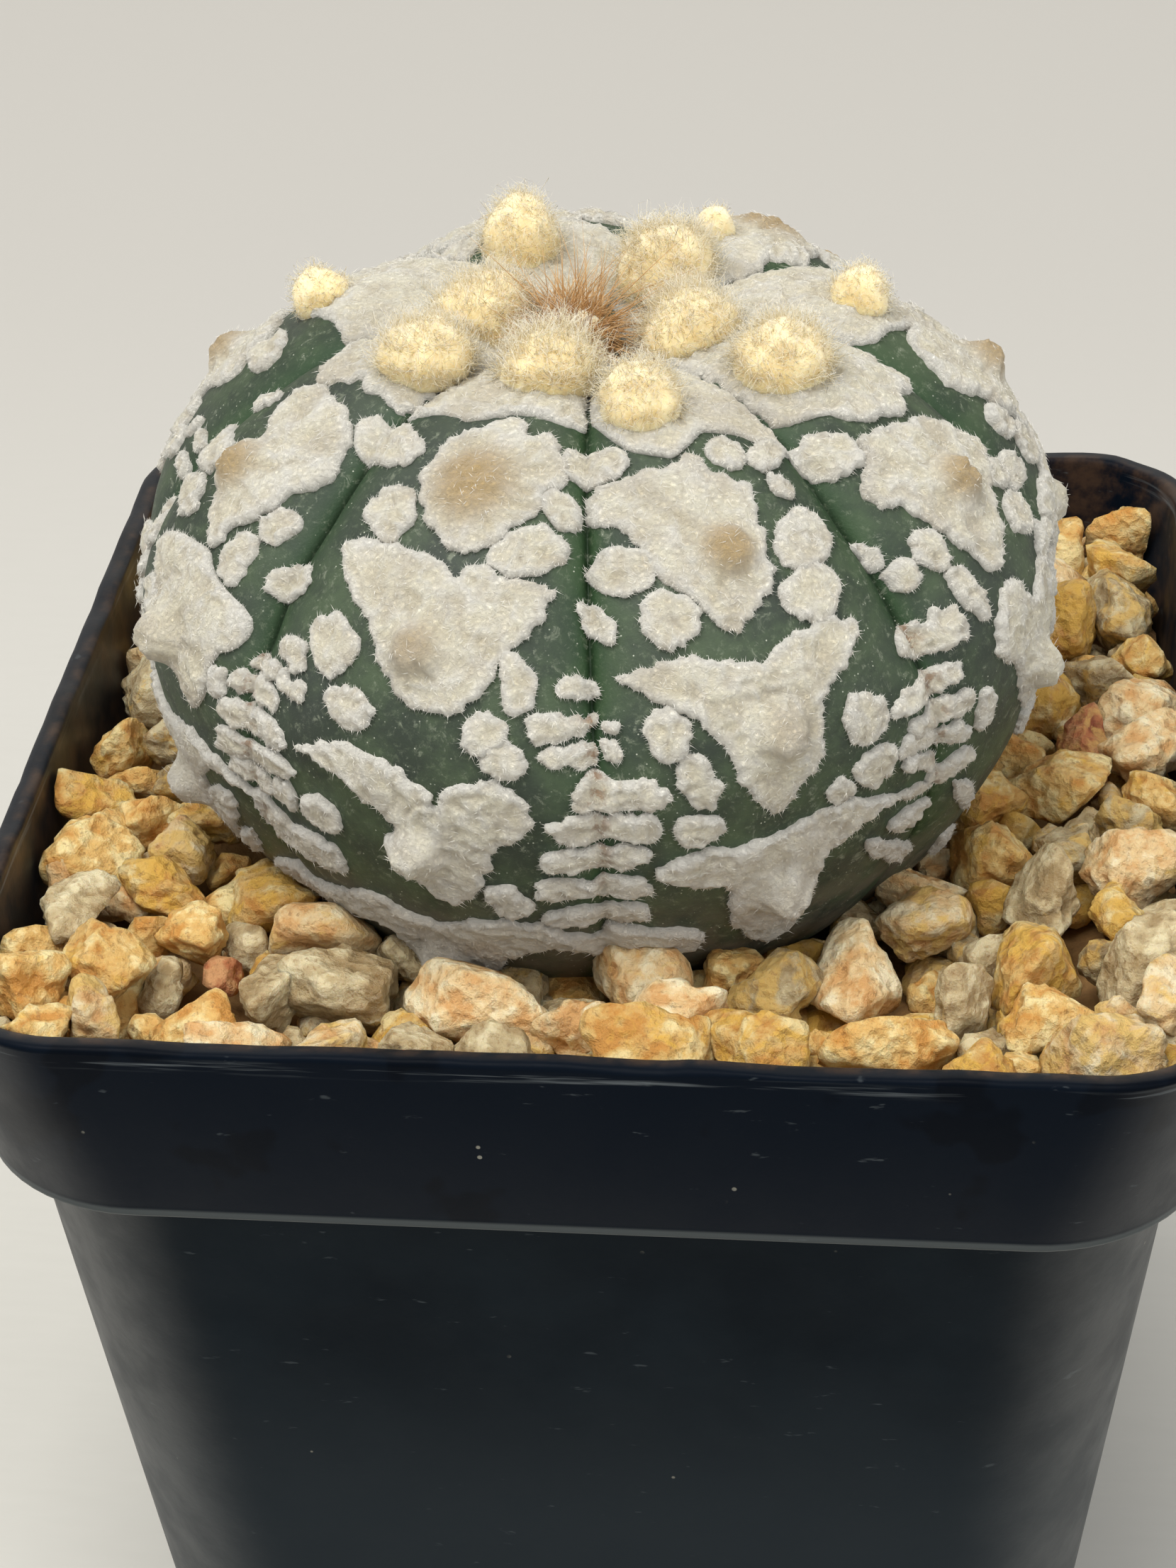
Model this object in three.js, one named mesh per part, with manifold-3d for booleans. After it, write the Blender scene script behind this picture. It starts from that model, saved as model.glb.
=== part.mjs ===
// Potted super kabuto star cactus: a low eight-ribbed globe with felt flecks and woolly areoles,
// in a square black nursery pot with a top dressing of golden gravel.
// Millimetres, +Z up. The origin is at the centre of the pot's foot, on the resting plane.
import * as THREE from 'three';
import { mergeVertices } from 'three/addons/utils/BufferGeometryUtils.js';
import Module from 'manifold-3d';

const wasm = await Module();
wasm.setup();

// Gap kept between neighbouring pieces, and the length under which a joined solid's edges close up
const CLEARANCE = 0.35;
const WELD = 0.05;

// Pot
const POT_HEIGHT = 75;
const RIM_WIDTH = 80;
const RIM_CORNER = 8.3;
const RIM_LIP = 1.5;
const RIM_EDGE = 0.5;
const BAND_HEIGHT = 13.7;
const BAND_NARROWING = 1.2;
const BAND_CORNER = 11.3;
const BAND_STEP = 1.3;
const WALL = 1.2;
const WALL_CORNER = 12.9;
const WALL_SLOPE = 0.11;
const FOOT_CHAMFER = 0.8;
const FOOT_WIDTH = 7;
const FOOT_RECESS = 2;
const FLOOR = 1.6;
const DRAIN_RADIUS = 3.2;
const DRAIN_PITCH = 14;
const CORNER_STEPS = 5;

// Soil and gravel
const SOIL_TOP = 60;
const GRAVEL_LEVEL = 69;
const GRAVEL_FALL_BACK = 0.05;
const GRAVEL_RISE_RIGHT = 0.015;
const STONE_SIZE = [4.4, 7.2];
const STONE_SPACING = 0.88;
const STONE_TRIES = 2600;
const STONE_MOST = 145;
const STONE_SEED = 20;
const STONE_LIFT = 0.12;
const STONE_WALL_GAP = 1.5;
const STONE_PLANT_RADIUS = 25;
const STONE_FLATNESS = [0.72, 0.62];
const STONE_FLATNESS_SPREAD = 0.25;
const STONE_SWELL = 0.85;
const STONE_SWELL_SPREAD = 0.3;
const BED_CORNER = 2;

// Cactus: radius and height of its outline from the sunken crown down to the tip of its root
const MERIDIAN = [
  [0, 101.4], [4, 102], [8, 103.5], [12, 104.3], [17, 103.7], [22, 100.9], [26.5, 96.9],
  [29.4, 92.4], [30.3, 88.5], [30, 84], [28.9, 79], [26.6, 74], [23.6, 69.5], [19.5, 65.5],
  [15, 61], [11, 54], [7.5, 45], [4.5, 36], [1.8, 28], [0, 26],
];
const PLANT_X = -1.7;
const WIDEST_HEIGHT = 88;
const LEAN = new THREE.Vector2(0.02, 0.06);
const COLUMNS_PER_RIB = 3;
const BODY_RINGS = 12;
const ROOT_RINGS = 5;
const ROOT_START = 66;

// Furrows: shallower towards the crown and the soil, with a sharp bottom and broad ribs between them
const FURROW_DEPTH = 1.7;
const FURROW_SHARPNESS = 3;
const FURROW_FULL_RADIUS = 24;
const FURROW_CROWN_POWER = 1.3;
const FURROW_LOW_HEIGHT = 83;
const FURROW_LOW_FADE = 10;
const FURROW_LEAST = 0.35;

// The furrows' azimuths in degrees near the crown and near the soil, anticlockwise from the left front
const FURROWS = [
  [-131, -131], [-87, -84], [-47, -38], [-6, -1], [36, 38], [84, 84], [136, 136], [191, 189],
];
const FURROW_TURN_START = 12;
const FURROW_TURN_LENGTH = 35;

// Felt flecks: how far they stand above the skin, and how deep and high their cutters reach
const FELT_RISE = 0.7;
const FELT_ROOT = 3.6;
const FELT_REACH = 2.6;
const DOT_CORNERS = 5;

// Outlines of the felt patches: millimetres across the rib and up towards the crown, from the areole
const COLLAR = [
  [-5, 3.5], [0, 4.5], [5, 3.5], [5.6, 0], [4.4, -3.4], [0, -4.8], [-4.4, -3.4], [-5.6, 0],
];
const FAN_LEFT = [
  [-1, 4.2], [0.5, 5.5], [2, 4.3], [3.5, 5.4], [5.5, 3.2], [4.4, -0.8], [2.5, -4.2],
  [0, -4.4], [-3, 0], [-2.2, 2.4],
];
const SWALLOW_LEFT = [
  [-8, 5], [-5, 6], [0, 5.4], [1, 4.4], [2, 5.8], [7.5, 4.8],
  [4.9, 0], [2.8, -3.7], [1.9, -2.9], [0.6, -3.6], [-3.4, 1],
];
const ARROW_LEFT = [
  [-9, 5], [-4, 6.5], [1.3, 3.9], [2, 5], [5.7, 5.5], [7.7, 2.9], [5, 1],
  [4.3, -1.8], [1.4, -4.3], [-2.5, 0], [-1.4, 1.9],
];
const BAND_LEFT = [
  [-14, 3.4], [-9, 5.2], [-3.4, 5.8], [1, 4.2], [8, 3.2], [17, 3.3], [17, 1.8],
  [11.5, -0.4], [5, 1.4], [1, -4], [-3.2, 0.6], [-9, 2.4],
];
const FAN_RIGHT = [
  [-6.6, 6], [-2, 6.1], [0.4, 7], [1.4, 4.9], [3.2, 4.3], [2.4, -1.6],
  [1.4, -3.2], [-0.8, -5], [-3.8, -1.5], [-4.6, 1.2], [-7, 3.8],
];
const SWALLOW_RIGHT = [
  [-9, 4.3], [-5.4, 5.5], [-0.8, 4.2], [4.2, 6], [7.5, 4.6], [3, 1.4],
  [2.7, -1.3], [-0.6, -6.2], [-2.7, -3.2], [-3.3, 0], [-7.5, 3],
];
const ARROW_RIGHT = [
  [-8.6, 1.8], [-5, 4.4], [2.2, 5], [14, 4], [4, 2.2],
  [2.6, 0.5], [1.8, -4], [0, -5.4], [-2.4, -4.5], [-3.6, 1],
];
const FAN_SIDE = [
  [-4, 4], [-5.8, 2.2], [-3.8, -1.6], [-2.6, -5], [-1, -5.6], [3, -3.2],
  [5.4, -1.8], [3.8, 3.8], [2.3, 5], [-1, 5.2],
];
const SWALLOW_SIDE = [
  [-3, 6.4], [1, 3.4], [4, 4.8], [6.8, 4.6], [6, 1.6], [3.6, 0], [3, -3], [1.4, -4.6],
  [-3, 1], [-4, 4],
];

// One side of the plant: felt patches as [outline, areole's distance from the crown along the rib],
// and loose dots as [across the rib, distance from the crown, width, height]
const PATTERN_LEFT = {
  patches: [
    [COLLAR, 10.5], [FAN_LEFT, 21], [SWALLOW_LEFT, 31.5], [ARROW_LEFT, 44.5], [BAND_LEFT, 56.5],
  ],
  dots: [
    [-3.9, 23.8, 3.2, 3.2], [5.3, 24.5, 4, 3], [-5.1, 32.2, 2.8, 3.8], [-3.4, 35.8, 2.9, 2.8],
    [6.6, 32.8, 2.2, 3.9], [5.6, 36.4, 2.6, 3.6],
  ],
};
const PATTERN_RIGHT = {
  patches: [[COLLAR, 14.5], [FAN_RIGHT, 25.5], [SWALLOW_RIGHT, 36.5], [ARROW_RIGHT, 49]],
  dots: [
    [-6.5, 25.6, 3.2, 3.4], [-4.6, 29.1, 3.3, 3.6], [4.7, 25.7, 3.4, 3.4], [4.2, 29.2, 3.6, 3.5],
    [-6.7, 35.9, 2.4, 3.2], [5.8, 37.5, 2.8, 2.9],
  ],
};
const PATTERN_SIDE = {
  patches: [[COLLAR, 16.5], [FAN_SIDE, 27], [SWALLOW_SIDE, 41.5]],
  dots: [
    [-5.1, 21.3, 3, 2.8], [-5, 29.6, 2.6, 3.4], [-4.4, 33.4, 2.3, 3.8], [4.1, 32.1, 2.4, 3.6],
  ],
};
const PATTERN_FAR = {
  patches: [[COLLAR, 14.5], [FAN_SIDE, 26], [SWALLOW_SIDE, 37.5], [ARROW_RIGHT, 49.5]],
  dots: [[5.4, 19.2, 3.4, 2.8], [5.7, 27.5, 2.4, 2.8], [-4.6, 27, 2.6, 3], [-4, 31, 2.4, 3.2]],
};

// The ribs in the furrows' order, each with its pattern, mirrored or moved down where it says so
const RIBS = [
  { pattern: PATTERN_LEFT, mirror: 1, shift: 0 },
  { pattern: PATTERN_RIGHT, mirror: 1, shift: 0 },
  { pattern: PATTERN_SIDE, mirror: 1, shift: 0 },
  { pattern: PATTERN_FAR, mirror: -1, shift: 2 },
  { pattern: PATTERN_LEFT, mirror: -1, shift: -2 },
  { pattern: PATTERN_RIGHT, mirror: -1, shift: -3 },
  { pattern: PATTERN_SIDE, mirror: -1, shift: 1.5 },
  { pattern: PATTERN_FAR, mirror: 1, shift: 0 },
];
const LOWEST_FELT = 57;

// Felt bars across the furrows, one below the other: the first one's distance from the crown, the
// pitch, the height and each bar's width
const BAR_START = 36.4;
const BAR_PITCH = 4.4;
const BAR_HEIGHT = 2.1;
const BAR_WIDTHS = [5.6, 7.6, 8.2];

// Areoles: woolly tufts near the crown, low knobs further down. The tufts as [azimuth, distance from
// the crown, radius, height]
const TUFTS = [
  [-102, 7.5, 3.4, 3.6], [-73, 14.3, 3.2, 3.5], [-141, 13.3, 3.6, 3.5], [-9, 6.4, 3.2, 2.9],
  [-31, 14.8, 3.6, 3.5], [12, 17.5, 2.4, 2.8], [59, 8.5, 3.6, 4.3], [61, 14.4, 1.5, 2.2],
  [119, 11.8, 3, 4.1], [168, 19.3, 2.1, 2.5], [-179, 7, 3.4, 3.3],
];
const TUFT_SIDES = 8;
const PATCH_WOOL_LIMIT = 24;
const PATCH_WOOL = { radius: 2.2, height: 1.2, sides: 6 };
const KNOB = { radius: 1.5, height: 1.5, sides: 5 };
const TUFT_ROOT = 1.6;
const TUFT_SHOULDER_RADIUS = 0.85;
const TUFT_SHOULDER_HEIGHT = 0.6;

// Flower bud in the crown: a woolly cone, as radius and height, under a brush of brown hairs
const BUD_PROFILE = [[0, 0], [1.84, 0.2], [2.3, 1.2], [1.61, 2.88], [0, 3.6]];
const BUD_SIDES = 10;
const BUD_LIFT = 0.6;
const BUD_HAIRS = 34;
const BUD_HAIR_LENGTH = 2.55;
const BUD_HAIR_LENGTH_SPREAD = 1.36;
const BUD_HAIR_RADIUS = 0.32;
const BUD_HAIR_ROOT = 1.62;
const BUD_HAIR_FAN = 0.75;
const BUD_HAIR_TURN = 2.4;
const BUD_SEED = 7;

// Seeded random numbers from 0 to 1
function randomSource(seed) {
  let state = seed;
  return () => {
    state = (state + 0x6d2b79f5) | 0;
    let t = Math.imul(state ^ (state >>> 15), 1 | state);
    t = (t + Math.imul(t ^ (t >>> 7), 61 | t)) ^ t;
    return ((t ^ (t >>> 14)) >>> 0) / 4294967296;
  };
}

// A closed mesh as a solid for cutting and joining
function toSolid(geometry) {
  const bare = geometry.clone();
  bare.deleteAttribute('normal');
  bare.deleteAttribute('uv');
  const merged = mergeVertices(bare, 1e-5);
  return new wasm.Manifold(new wasm.Mesh({
    numProp: 3,
    tolerance: WELD,
    vertProperties: new Float32Array(merged.attributes.position.array),
    triVerts: new Uint32Array(merged.index.array),
  }));
}

function solidFrom(points, triangles) {
  const geometry = new THREE.BufferGeometry();
  const coordinates = points.flatMap((point) => point.toArray());
  geometry.setAttribute('position', new THREE.Float32BufferAttribute(coordinates, 3));
  geometry.setIndex(triangles.flat());
  return toSolid(geometry);
}

function joinAll(solids) {
  return solids.reduce((joined, next) => joined.add(next));
}

// The largest connected shell of a solid: fills sealed hollows and drops loose scraps
function largestShell(solid) {
  const mesh = solid.getMesh();
  const { vertProperties, triVerts } = mesh;
  const parent = Array.from({ length: mesh.numVert }, (_, i) => i);
  const root = (i) => {
    while (parent[i] !== i) {
      parent[i] = parent[parent[i]];
      i = parent[i];
    }
    return i;
  };
  for (let t = 0; t < triVerts.length; t += 3) {
    parent[root(triVerts[t + 1])] = root(triVerts[t]);
    parent[root(triVerts[t + 2])] = root(triVerts[t]);
  }
  const counts = new Map();
  for (const v of triVerts) counts.set(root(v), (counts.get(root(v)) ?? 0) + 1);
  const keep = [...counts.entries()].sort((a, b) => b[1] - a[1])[0][0];
  const index = [];
  for (let t = 0; t < triVerts.length; t += 3) {
    if (root(triVerts[t]) === keep) index.push(triVerts[t], triVerts[t + 1], triVerts[t + 2]);
  }
  const positions = [];
  for (let i = 0; i < mesh.numVert; i += 1) {
    const start = i * mesh.numProp;
    positions.push(vertProperties[start], vertProperties[start + 1], vertProperties[start + 2]);
  }
  const geometry = new THREE.BufferGeometry();
  geometry.setAttribute('position', new THREE.Float32BufferAttribute(positions, 3));
  geometry.setIndex(index);
  const shell = mergeVertices(geometry.toNonIndexed(), 1e-6);
  shell.computeVertexNormals();
  return shell;
}

// Ring of points round a square with rounded corners
function roundedSquare(half, corner, height) {
  const ring = [];
  for (let quarter = 0; quarter < 4; quarter += 1) {
    const middle = (quarter + 0.5) * Math.PI / 2;
    const centre = new THREE.Vector2(Math.sign(Math.cos(middle)), Math.sign(Math.sin(middle)));
    centre.multiplyScalar(half - corner);
    for (let step = 0; step <= CORNER_STEPS; step += 1) {
      const angle = (quarter + step / CORNER_STEPS) * Math.PI / 2;
      ring.push(new THREE.Vector3(
        centre.x + corner * Math.cos(angle),
        centre.y + corner * Math.sin(angle),
        height,
      ));
    }
  }
  return ring;
}

// A solid through a stack of convex rings, from the lowest to the highest
function loft(rings) {
  const size = rings[0].length;
  const points = rings.flat();
  const triangles = [];
  const top = (rings.length - 1) * size;
  for (let i = 1; i < size - 1; i += 1) {
    triangles.push([0, i + 1, i]);
    triangles.push([top, top + i, top + i + 1]);
  }
  for (let level = 0; level < rings.length - 1; level += 1) {
    for (let i = 0; i < size; i += 1) {
      const a = level * size + i;
      const b = level * size + (i + 1) % size;
      triangles.push([a, b, b + size]);
      triangles.push([a, b + size, a + size]);
    }
  }
  return solidFrom(points, triangles);
}

const bandBottom = POT_HEIGHT - BAND_HEIGHT;
const rimHalf = RIM_WIDTH / 2;
const bandHalf = rimHalf - BAND_NARROWING;
const shoulderHalf = bandHalf - BAND_STEP;
const wallHalf = (height) => shoulderHalf - WALL_SLOPE * (bandBottom - height);
const floorTop = FOOT_RECESS + FLOOR;

// The pot's inside, between two heights and a given distance inside its walls
function potInside(clearance, low, high) {
  const ring = (half, corner, height) => (
    roundedSquare(half - clearance, corner - clearance, height)
  );
  const rings = [ring(wallHalf(low) - WALL, WALL_CORNER - WALL, low)];
  if (high <= bandBottom) {
    rings.push(ring(wallHalf(high) - WALL, WALL_CORNER - WALL, high));
    return loft(rings);
  }
  rings.push(ring(shoulderHalf - WALL, WALL_CORNER - WALL, bandBottom));
  rings.push(ring(bandHalf - WALL, BAND_CORNER - WALL, bandBottom + WALL));
  rings.push(ring(rimHalf - RIM_LIP, RIM_CORNER - RIM_LIP, POT_HEIGHT));
  rings.push(ring(rimHalf - RIM_LIP, RIM_CORNER - RIM_LIP, high));
  return loft(rings);
}

function makePot() {
  const outside = loft([
    roundedSquare(wallHalf(0) - FOOT_CHAMFER, WALL_CORNER - FOOT_CHAMFER, 0),
    roundedSquare(wallHalf(FOOT_CHAMFER), WALL_CORNER, FOOT_CHAMFER),
    roundedSquare(shoulderHalf, WALL_CORNER, bandBottom),
    roundedSquare(bandHalf - RIM_EDGE, BAND_CORNER, bandBottom),
    roundedSquare(bandHalf, BAND_CORNER, bandBottom + RIM_EDGE),
    roundedSquare(rimHalf, RIM_CORNER, POT_HEIGHT - RIM_EDGE),
    roundedSquare(rimHalf - RIM_EDGE, RIM_CORNER - RIM_EDGE, POT_HEIGHT),
  ]);
  const recess = loft([
    roundedSquare(wallHalf(0) - FOOT_WIDTH, WALL_CORNER - FOOT_WIDTH, -1),
    roundedSquare(wallHalf(0) - FOOT_WIDTH, WALL_CORNER - FOOT_WIDTH, FOOT_RECESS),
  ]);
  let pot = outside.subtract(potInside(0, floorTop, POT_HEIGHT + 2)).subtract(recess);
  for (const column of [-1, 0, 1]) {
    for (const row of [-1, 0, 1]) {
      const drain = new THREE.CylinderGeometry(DRAIN_RADIUS, DRAIN_RADIUS, 4 * FLOOR, 12);
      drain.rotateX(Math.PI / 2);
      drain.translate(column * DRAIN_PITCH, row * DRAIN_PITCH, floorTop);
      pot = pot.subtract(toSolid(drain));
    }
  }
  return pot;
}

const meridian = new THREE.SplineCurve(MERIDIAN.map(([r, z]) => new THREE.Vector2(r, z)));
meridian.arcLengthDivisions = 2000;
const meridianLength = meridian.getLength();

// Azimuth of a furrow at a distance from the crown; past the last furrow it starts again
function furrowAzimuth(index, distance) {
  const [upper, lower] = FURROWS[index % FURROWS.length];
  const turn = THREE.MathUtils.clamp((distance - FURROW_TURN_START) / FURROW_TURN_LENGTH, 0, 1);
  const lap = 360 * Math.floor(index / FURROWS.length);
  return THREE.MathUtils.degToRad(upper + (lower - upper) * turn + lap);
}

function ribCrest(rib, distance) {
  return (furrowAzimuth(rib, distance) + furrowAzimuth(rib + 1, distance)) / 2;
}

// Where an azimuth lies between its two furrows: 0 on the crest, 1 in a furrow
function nearnessToFurrow(azimuth, distance) {
  const lap = 2 * Math.PI;
  const start = furrowAzimuth(0, distance);
  const turned = start + THREE.MathUtils.euclideanModulo(azimuth - start, lap);
  for (let rib = 0; rib < FURROWS.length; rib += 1) {
    const from = furrowAzimuth(rib, distance);
    const to = furrowAzimuth(rib + 1, distance);
    if (turned <= to) return Math.abs((2 * (turned - from)) / (to - from) - 1);
  }
  return 1;
}

function radiusAt(distance) {
  return meridian.getPointAt(THREE.MathUtils.clamp(distance / meridianLength, 0, 1)).x;
}

// The plant's axis at a height: upright up to the widest part, leaning above it
function axisPoint(height) {
  const lifted = Math.max(0, height - WIDEST_HEIGHT);
  return new THREE.Vector3(PLANT_X + LEAN.x * lifted, LEAN.y * lifted, height);
}

// A point on the plant, raised above its skin
function skinPoint(azimuth, distance, rise) {
  const share = THREE.MathUtils.clamp(distance / meridianLength, 0, 1);
  const place = meridian.getPointAt(share);
  const along = meridian.getTangentAt(share);
  const lowFade = (place.y - FURROW_LOW_HEIGHT) / FURROW_LOW_FADE;
  const depth = FURROW_DEPTH
    * Math.min(1, place.x / FURROW_FULL_RADIUS) ** FURROW_CROWN_POWER
    * THREE.MathUtils.clamp(lowFade, FURROW_LEAST, 1)
    * nearnessToFurrow(azimuth, distance) ** FURROW_SHARPNESS;
  const radius = Math.max(0, place.x - along.y * (rise - depth));
  const height = place.y + along.x * (rise - depth);
  const axis = axisPoint(height);
  return axis.add(new THREE.Vector3(radius * Math.cos(azimuth), radius * Math.sin(azimuth), 0));
}

// The plant's ribbed body and root as one closed surface, raised by a given amount
function plantSolid(rise) {
  const distances = [];
  for (let ring = 1; ring <= BODY_RINGS; ring += 1) distances.push((ROOT_START * ring) / BODY_RINGS);
  for (let ring = 1; ring < ROOT_RINGS; ring += 1) {
    distances.push(ROOT_START + ((meridianLength - ROOT_START) * ring) / ROOT_RINGS);
  }
  const columns = RIBS.length * COLUMNS_PER_RIB;
  const [crown, tip] = [MERIDIAN[0], MERIDIAN[MERIDIAN.length - 1]];
  const points = [axisPoint(crown[1] + rise), axisPoint(tip[1] - rise)];
  for (const distance of distances) {
    for (let rib = 0; rib < RIBS.length; rib += 1) {
      const from = furrowAzimuth(rib, distance);
      const to = furrowAzimuth(rib + 1, distance);
      for (let step = 0; step < COLUMNS_PER_RIB; step += 1) {
        points.push(skinPoint(from + ((to - from) * step) / COLUMNS_PER_RIB, distance, rise));
      }
    }
  }
  const triangles = [];
  const lastRing = 2 + (distances.length - 1) * columns;
  for (let i = 0; i < columns; i += 1) {
    const next = (i + 1) % columns;
    triangles.push([0, 2 + i, 2 + next]);
    triangles.push([1, lastRing + next, lastRing + i]);
    for (let ring = 0; ring < distances.length - 1; ring += 1) {
      const above = 2 + ring * columns;
      const below = above + columns;
      triangles.push([above + i, below + i, below + next]);
      triangles.push([above + i, below + next, above + next]);
    }
  }
  return solidFrom(points, triangles);
}

// A felt patch's outline pushed through the skin, as a solid that cuts the patch out of a raised skin
function feltCutter(outline) {
  const flat = outline.map(([azimuth, distance]) => (
    new THREE.Vector2(azimuth * radiusAt(distance), -distance)
  ));
  const ordered = THREE.ShapeUtils.isClockWise(flat) ? [...outline].reverse() : outline;
  if (ordered !== outline) flat.reverse();
  const faces = THREE.ShapeUtils.triangulateShape(flat, []);
  const count = ordered.length;
  const points = [
    ...ordered.map(([azimuth, distance]) => skinPoint(azimuth, distance, FELT_REACH)),
    ...ordered.map(([azimuth, distance]) => skinPoint(azimuth, distance, -FELT_ROOT)),
  ];
  const triangles = [];
  for (const [a, b, c] of faces) {
    triangles.push([a, b, c]);
    triangles.push([c + count, b + count, a + count]);
  }
  for (let i = 0; i < count; i += 1) {
    const next = (i + 1) % count;
    triangles.push([i + count, next + count, next]);
    triangles.push([i + count, next, i]);
  }
  return solidFrom(points, triangles);
}

// An outline in millimetres on a rib, as azimuths and distances from the crown
function onRib(rib, outline, distance, mirror) {
  return outline.map(([across, up]) => {
    const level = distance - up;
    return [ribCrest(rib, level) + (mirror * across) / radiusAt(level), level];
  });
}

function feltOutlines() {
  const outlines = [];
  RIBS.forEach(({ pattern, mirror, shift }, rib) => {
    for (const [outline, distance] of pattern.patches) {
      const level = distance + shift;
      if (level < LOWEST_FELT) outlines.push(onRib(rib, outline, level, mirror));
    }
    for (const [across, distance, width, height] of pattern.dots) {
      const dot = [];
      for (let corner = 0; corner < DOT_CORNERS; corner += 1) {
        const angle = (2 * Math.PI * corner) / DOT_CORNERS;
        dot.push([across + (width / 2) * Math.cos(angle), (height / 2) * Math.sin(angle)]);
      }
      outlines.push(onRib(rib, dot, distance + shift, mirror));
    }
    BAR_WIDTHS.forEach((width, bar) => {
      const distance = BAR_START + bar * BAR_PITCH;
      const middle = furrowAzimuth(rib, distance);
      const turn = width / 2 / radiusAt(distance);
      const rise = BAR_HEIGHT / 2;
      outlines.push([
        [middle - turn, distance + rise],
        [middle + turn, distance + rise],
        [middle + turn, distance - rise],
        [middle - turn, distance - rise],
      ]);
    });
  });
  return outlines;
}

// A domed tuft standing on the skin, with its root sunk in it; grown on all sides by a given amount
function tuft({ radius, height, sides }, azimuth, distance, growth) {
  const profile = [
    new THREE.Vector2(0, -TUFT_ROOT),
    new THREE.Vector2(radius + growth, -TUFT_ROOT),
    new THREE.Vector2(
      radius * TUFT_SHOULDER_RADIUS + growth,
      height * TUFT_SHOULDER_HEIGHT + growth / 2,
    ),
    new THREE.Vector2(0, height + growth),
  ];
  const geometry = new THREE.LatheGeometry(profile, sides);
  const foot = skinPoint(azimuth, distance, 0);
  const outward = skinPoint(azimuth, distance, 1).sub(foot).normalize();
  const lathed = new THREE.Vector3(0, 1, 0);
  geometry.applyQuaternion(new THREE.Quaternion().setFromUnitVectors(lathed, outward));
  geometry.translate(foot.x, foot.y, foot.z);
  return toSolid(geometry);
}

function areoleShape(distance) {
  return distance < PATCH_WOOL_LIMIT ? PATCH_WOOL : KNOB;
}

function makeTufts(growth) {
  const tufts = [];
  RIBS.forEach(({ pattern, shift }, rib) => {
    for (const [outline, distance] of pattern.patches) {
      const level = distance + shift;
      if (outline !== COLLAR && level < LOWEST_FELT) {
        tufts.push(tuft(areoleShape(level), ribCrest(rib, level), level, growth));
      }
    }
  });
  for (const [azimuth, distance, radius, height] of TUFTS) {
    const shape = { radius, height, sides: TUFT_SIDES };
    tufts.push(tuft(shape, THREE.MathUtils.degToRad(azimuth), distance, growth));
  }
  return joinAll(tufts);
}

function makeCactus() {
  const felt = plantSolid(FELT_RISE).intersect(joinAll(feltOutlines().map(feltCutter)));
  return plantSolid(0).add(felt).add(makeTufts(0));
}

// The space that the plant's neighbours stay out of
function plantClearance() {
  return plantSolid(FELT_RISE + CLEARANCE).add(makeTufts(CLEARANCE));
}

// Height of the gravel bed's top
function gravelHeight(x, y) {
  return GRAVEL_LEVEL - GRAVEL_FALL_BACK * y + GRAVEL_RISE_RIGHT * x;
}

// An angular stone with twenty faces
function stone(random, size) {
  const round = new THREE.IcosahedronGeometry(0.5, 0);
  round.deleteAttribute('normal');
  round.deleteAttribute('uv');
  const geometry = mergeVertices(round, 1e-4);
  const position = geometry.attributes.position;
  const stretch = new THREE.Vector3(
    1,
    STONE_FLATNESS[0] + STONE_FLATNESS_SPREAD * random(),
    STONE_FLATNESS[1] + STONE_FLATNESS_SPREAD * random(),
  );
  const corner = new THREE.Vector3();
  for (let i = 0; i < position.count; i += 1) {
    const swell = size * (STONE_SWELL + STONE_SWELL_SPREAD * random());
    corner.fromBufferAttribute(position, i).multiply(stretch).multiplyScalar(swell);
    position.setXYZ(i, corner.x, corner.y, corner.z);
  }
  geometry.rotateX(random() * 2 * Math.PI);
  geometry.rotateZ(random() * 2 * Math.PI);
  return geometry;
}

function makeGravel() {
  const random = randomSource(STONE_SEED);
  const reach = rimHalf - RIM_LIP - STONE_WALL_GAP;
  const placed = [];
  const stones = [];
  for (let attempt = 0; attempt < STONE_TRIES && placed.length < STONE_MOST; attempt += 1) {
    const x = (2 * random() - 1) * reach;
    const y = (2 * random() - 1) * reach;
    const size = STONE_SIZE[0] + (STONE_SIZE[1] - STONE_SIZE[0]) * random();
    const nearPlant = Math.hypot(x - PLANT_X, y) < STONE_PLANT_RADIUS;
    const crowded = placed.some((other) => (
      Math.hypot(x - other.x, y - other.y) < (STONE_SPACING * (size + other.size)) / 2
    ));
    if (!nearPlant && !crowded) {
      placed.push({ x, y, size });
      const geometry = stone(random, size);
      geometry.translate(x, y, gravelHeight(x, y) + size * STONE_LIFT);
      stones.push(toSolid(geometry));
    }
  }
  const bedBottom = roundedSquare(rimHalf, BED_CORNER, SOIL_TOP);
  const bedTop = roundedSquare(rimHalf, BED_CORNER, GRAVEL_LEVEL);
  for (const point of bedTop) point.z = gravelHeight(point.x, point.y);
  const bed = loft([bedBottom, bedTop]);
  const inside = potInside(CLEARANCE, SOIL_TOP, POT_HEIGHT + STONE_SIZE[1]);
  return bed.add(joinAll(stones)).intersect(inside).subtract(plantClearance());
}

function makeSoil() {
  return potInside(CLEARANCE, floorTop, SOIL_TOP).subtract(plantSolid(CLEARANCE));
}

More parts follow.
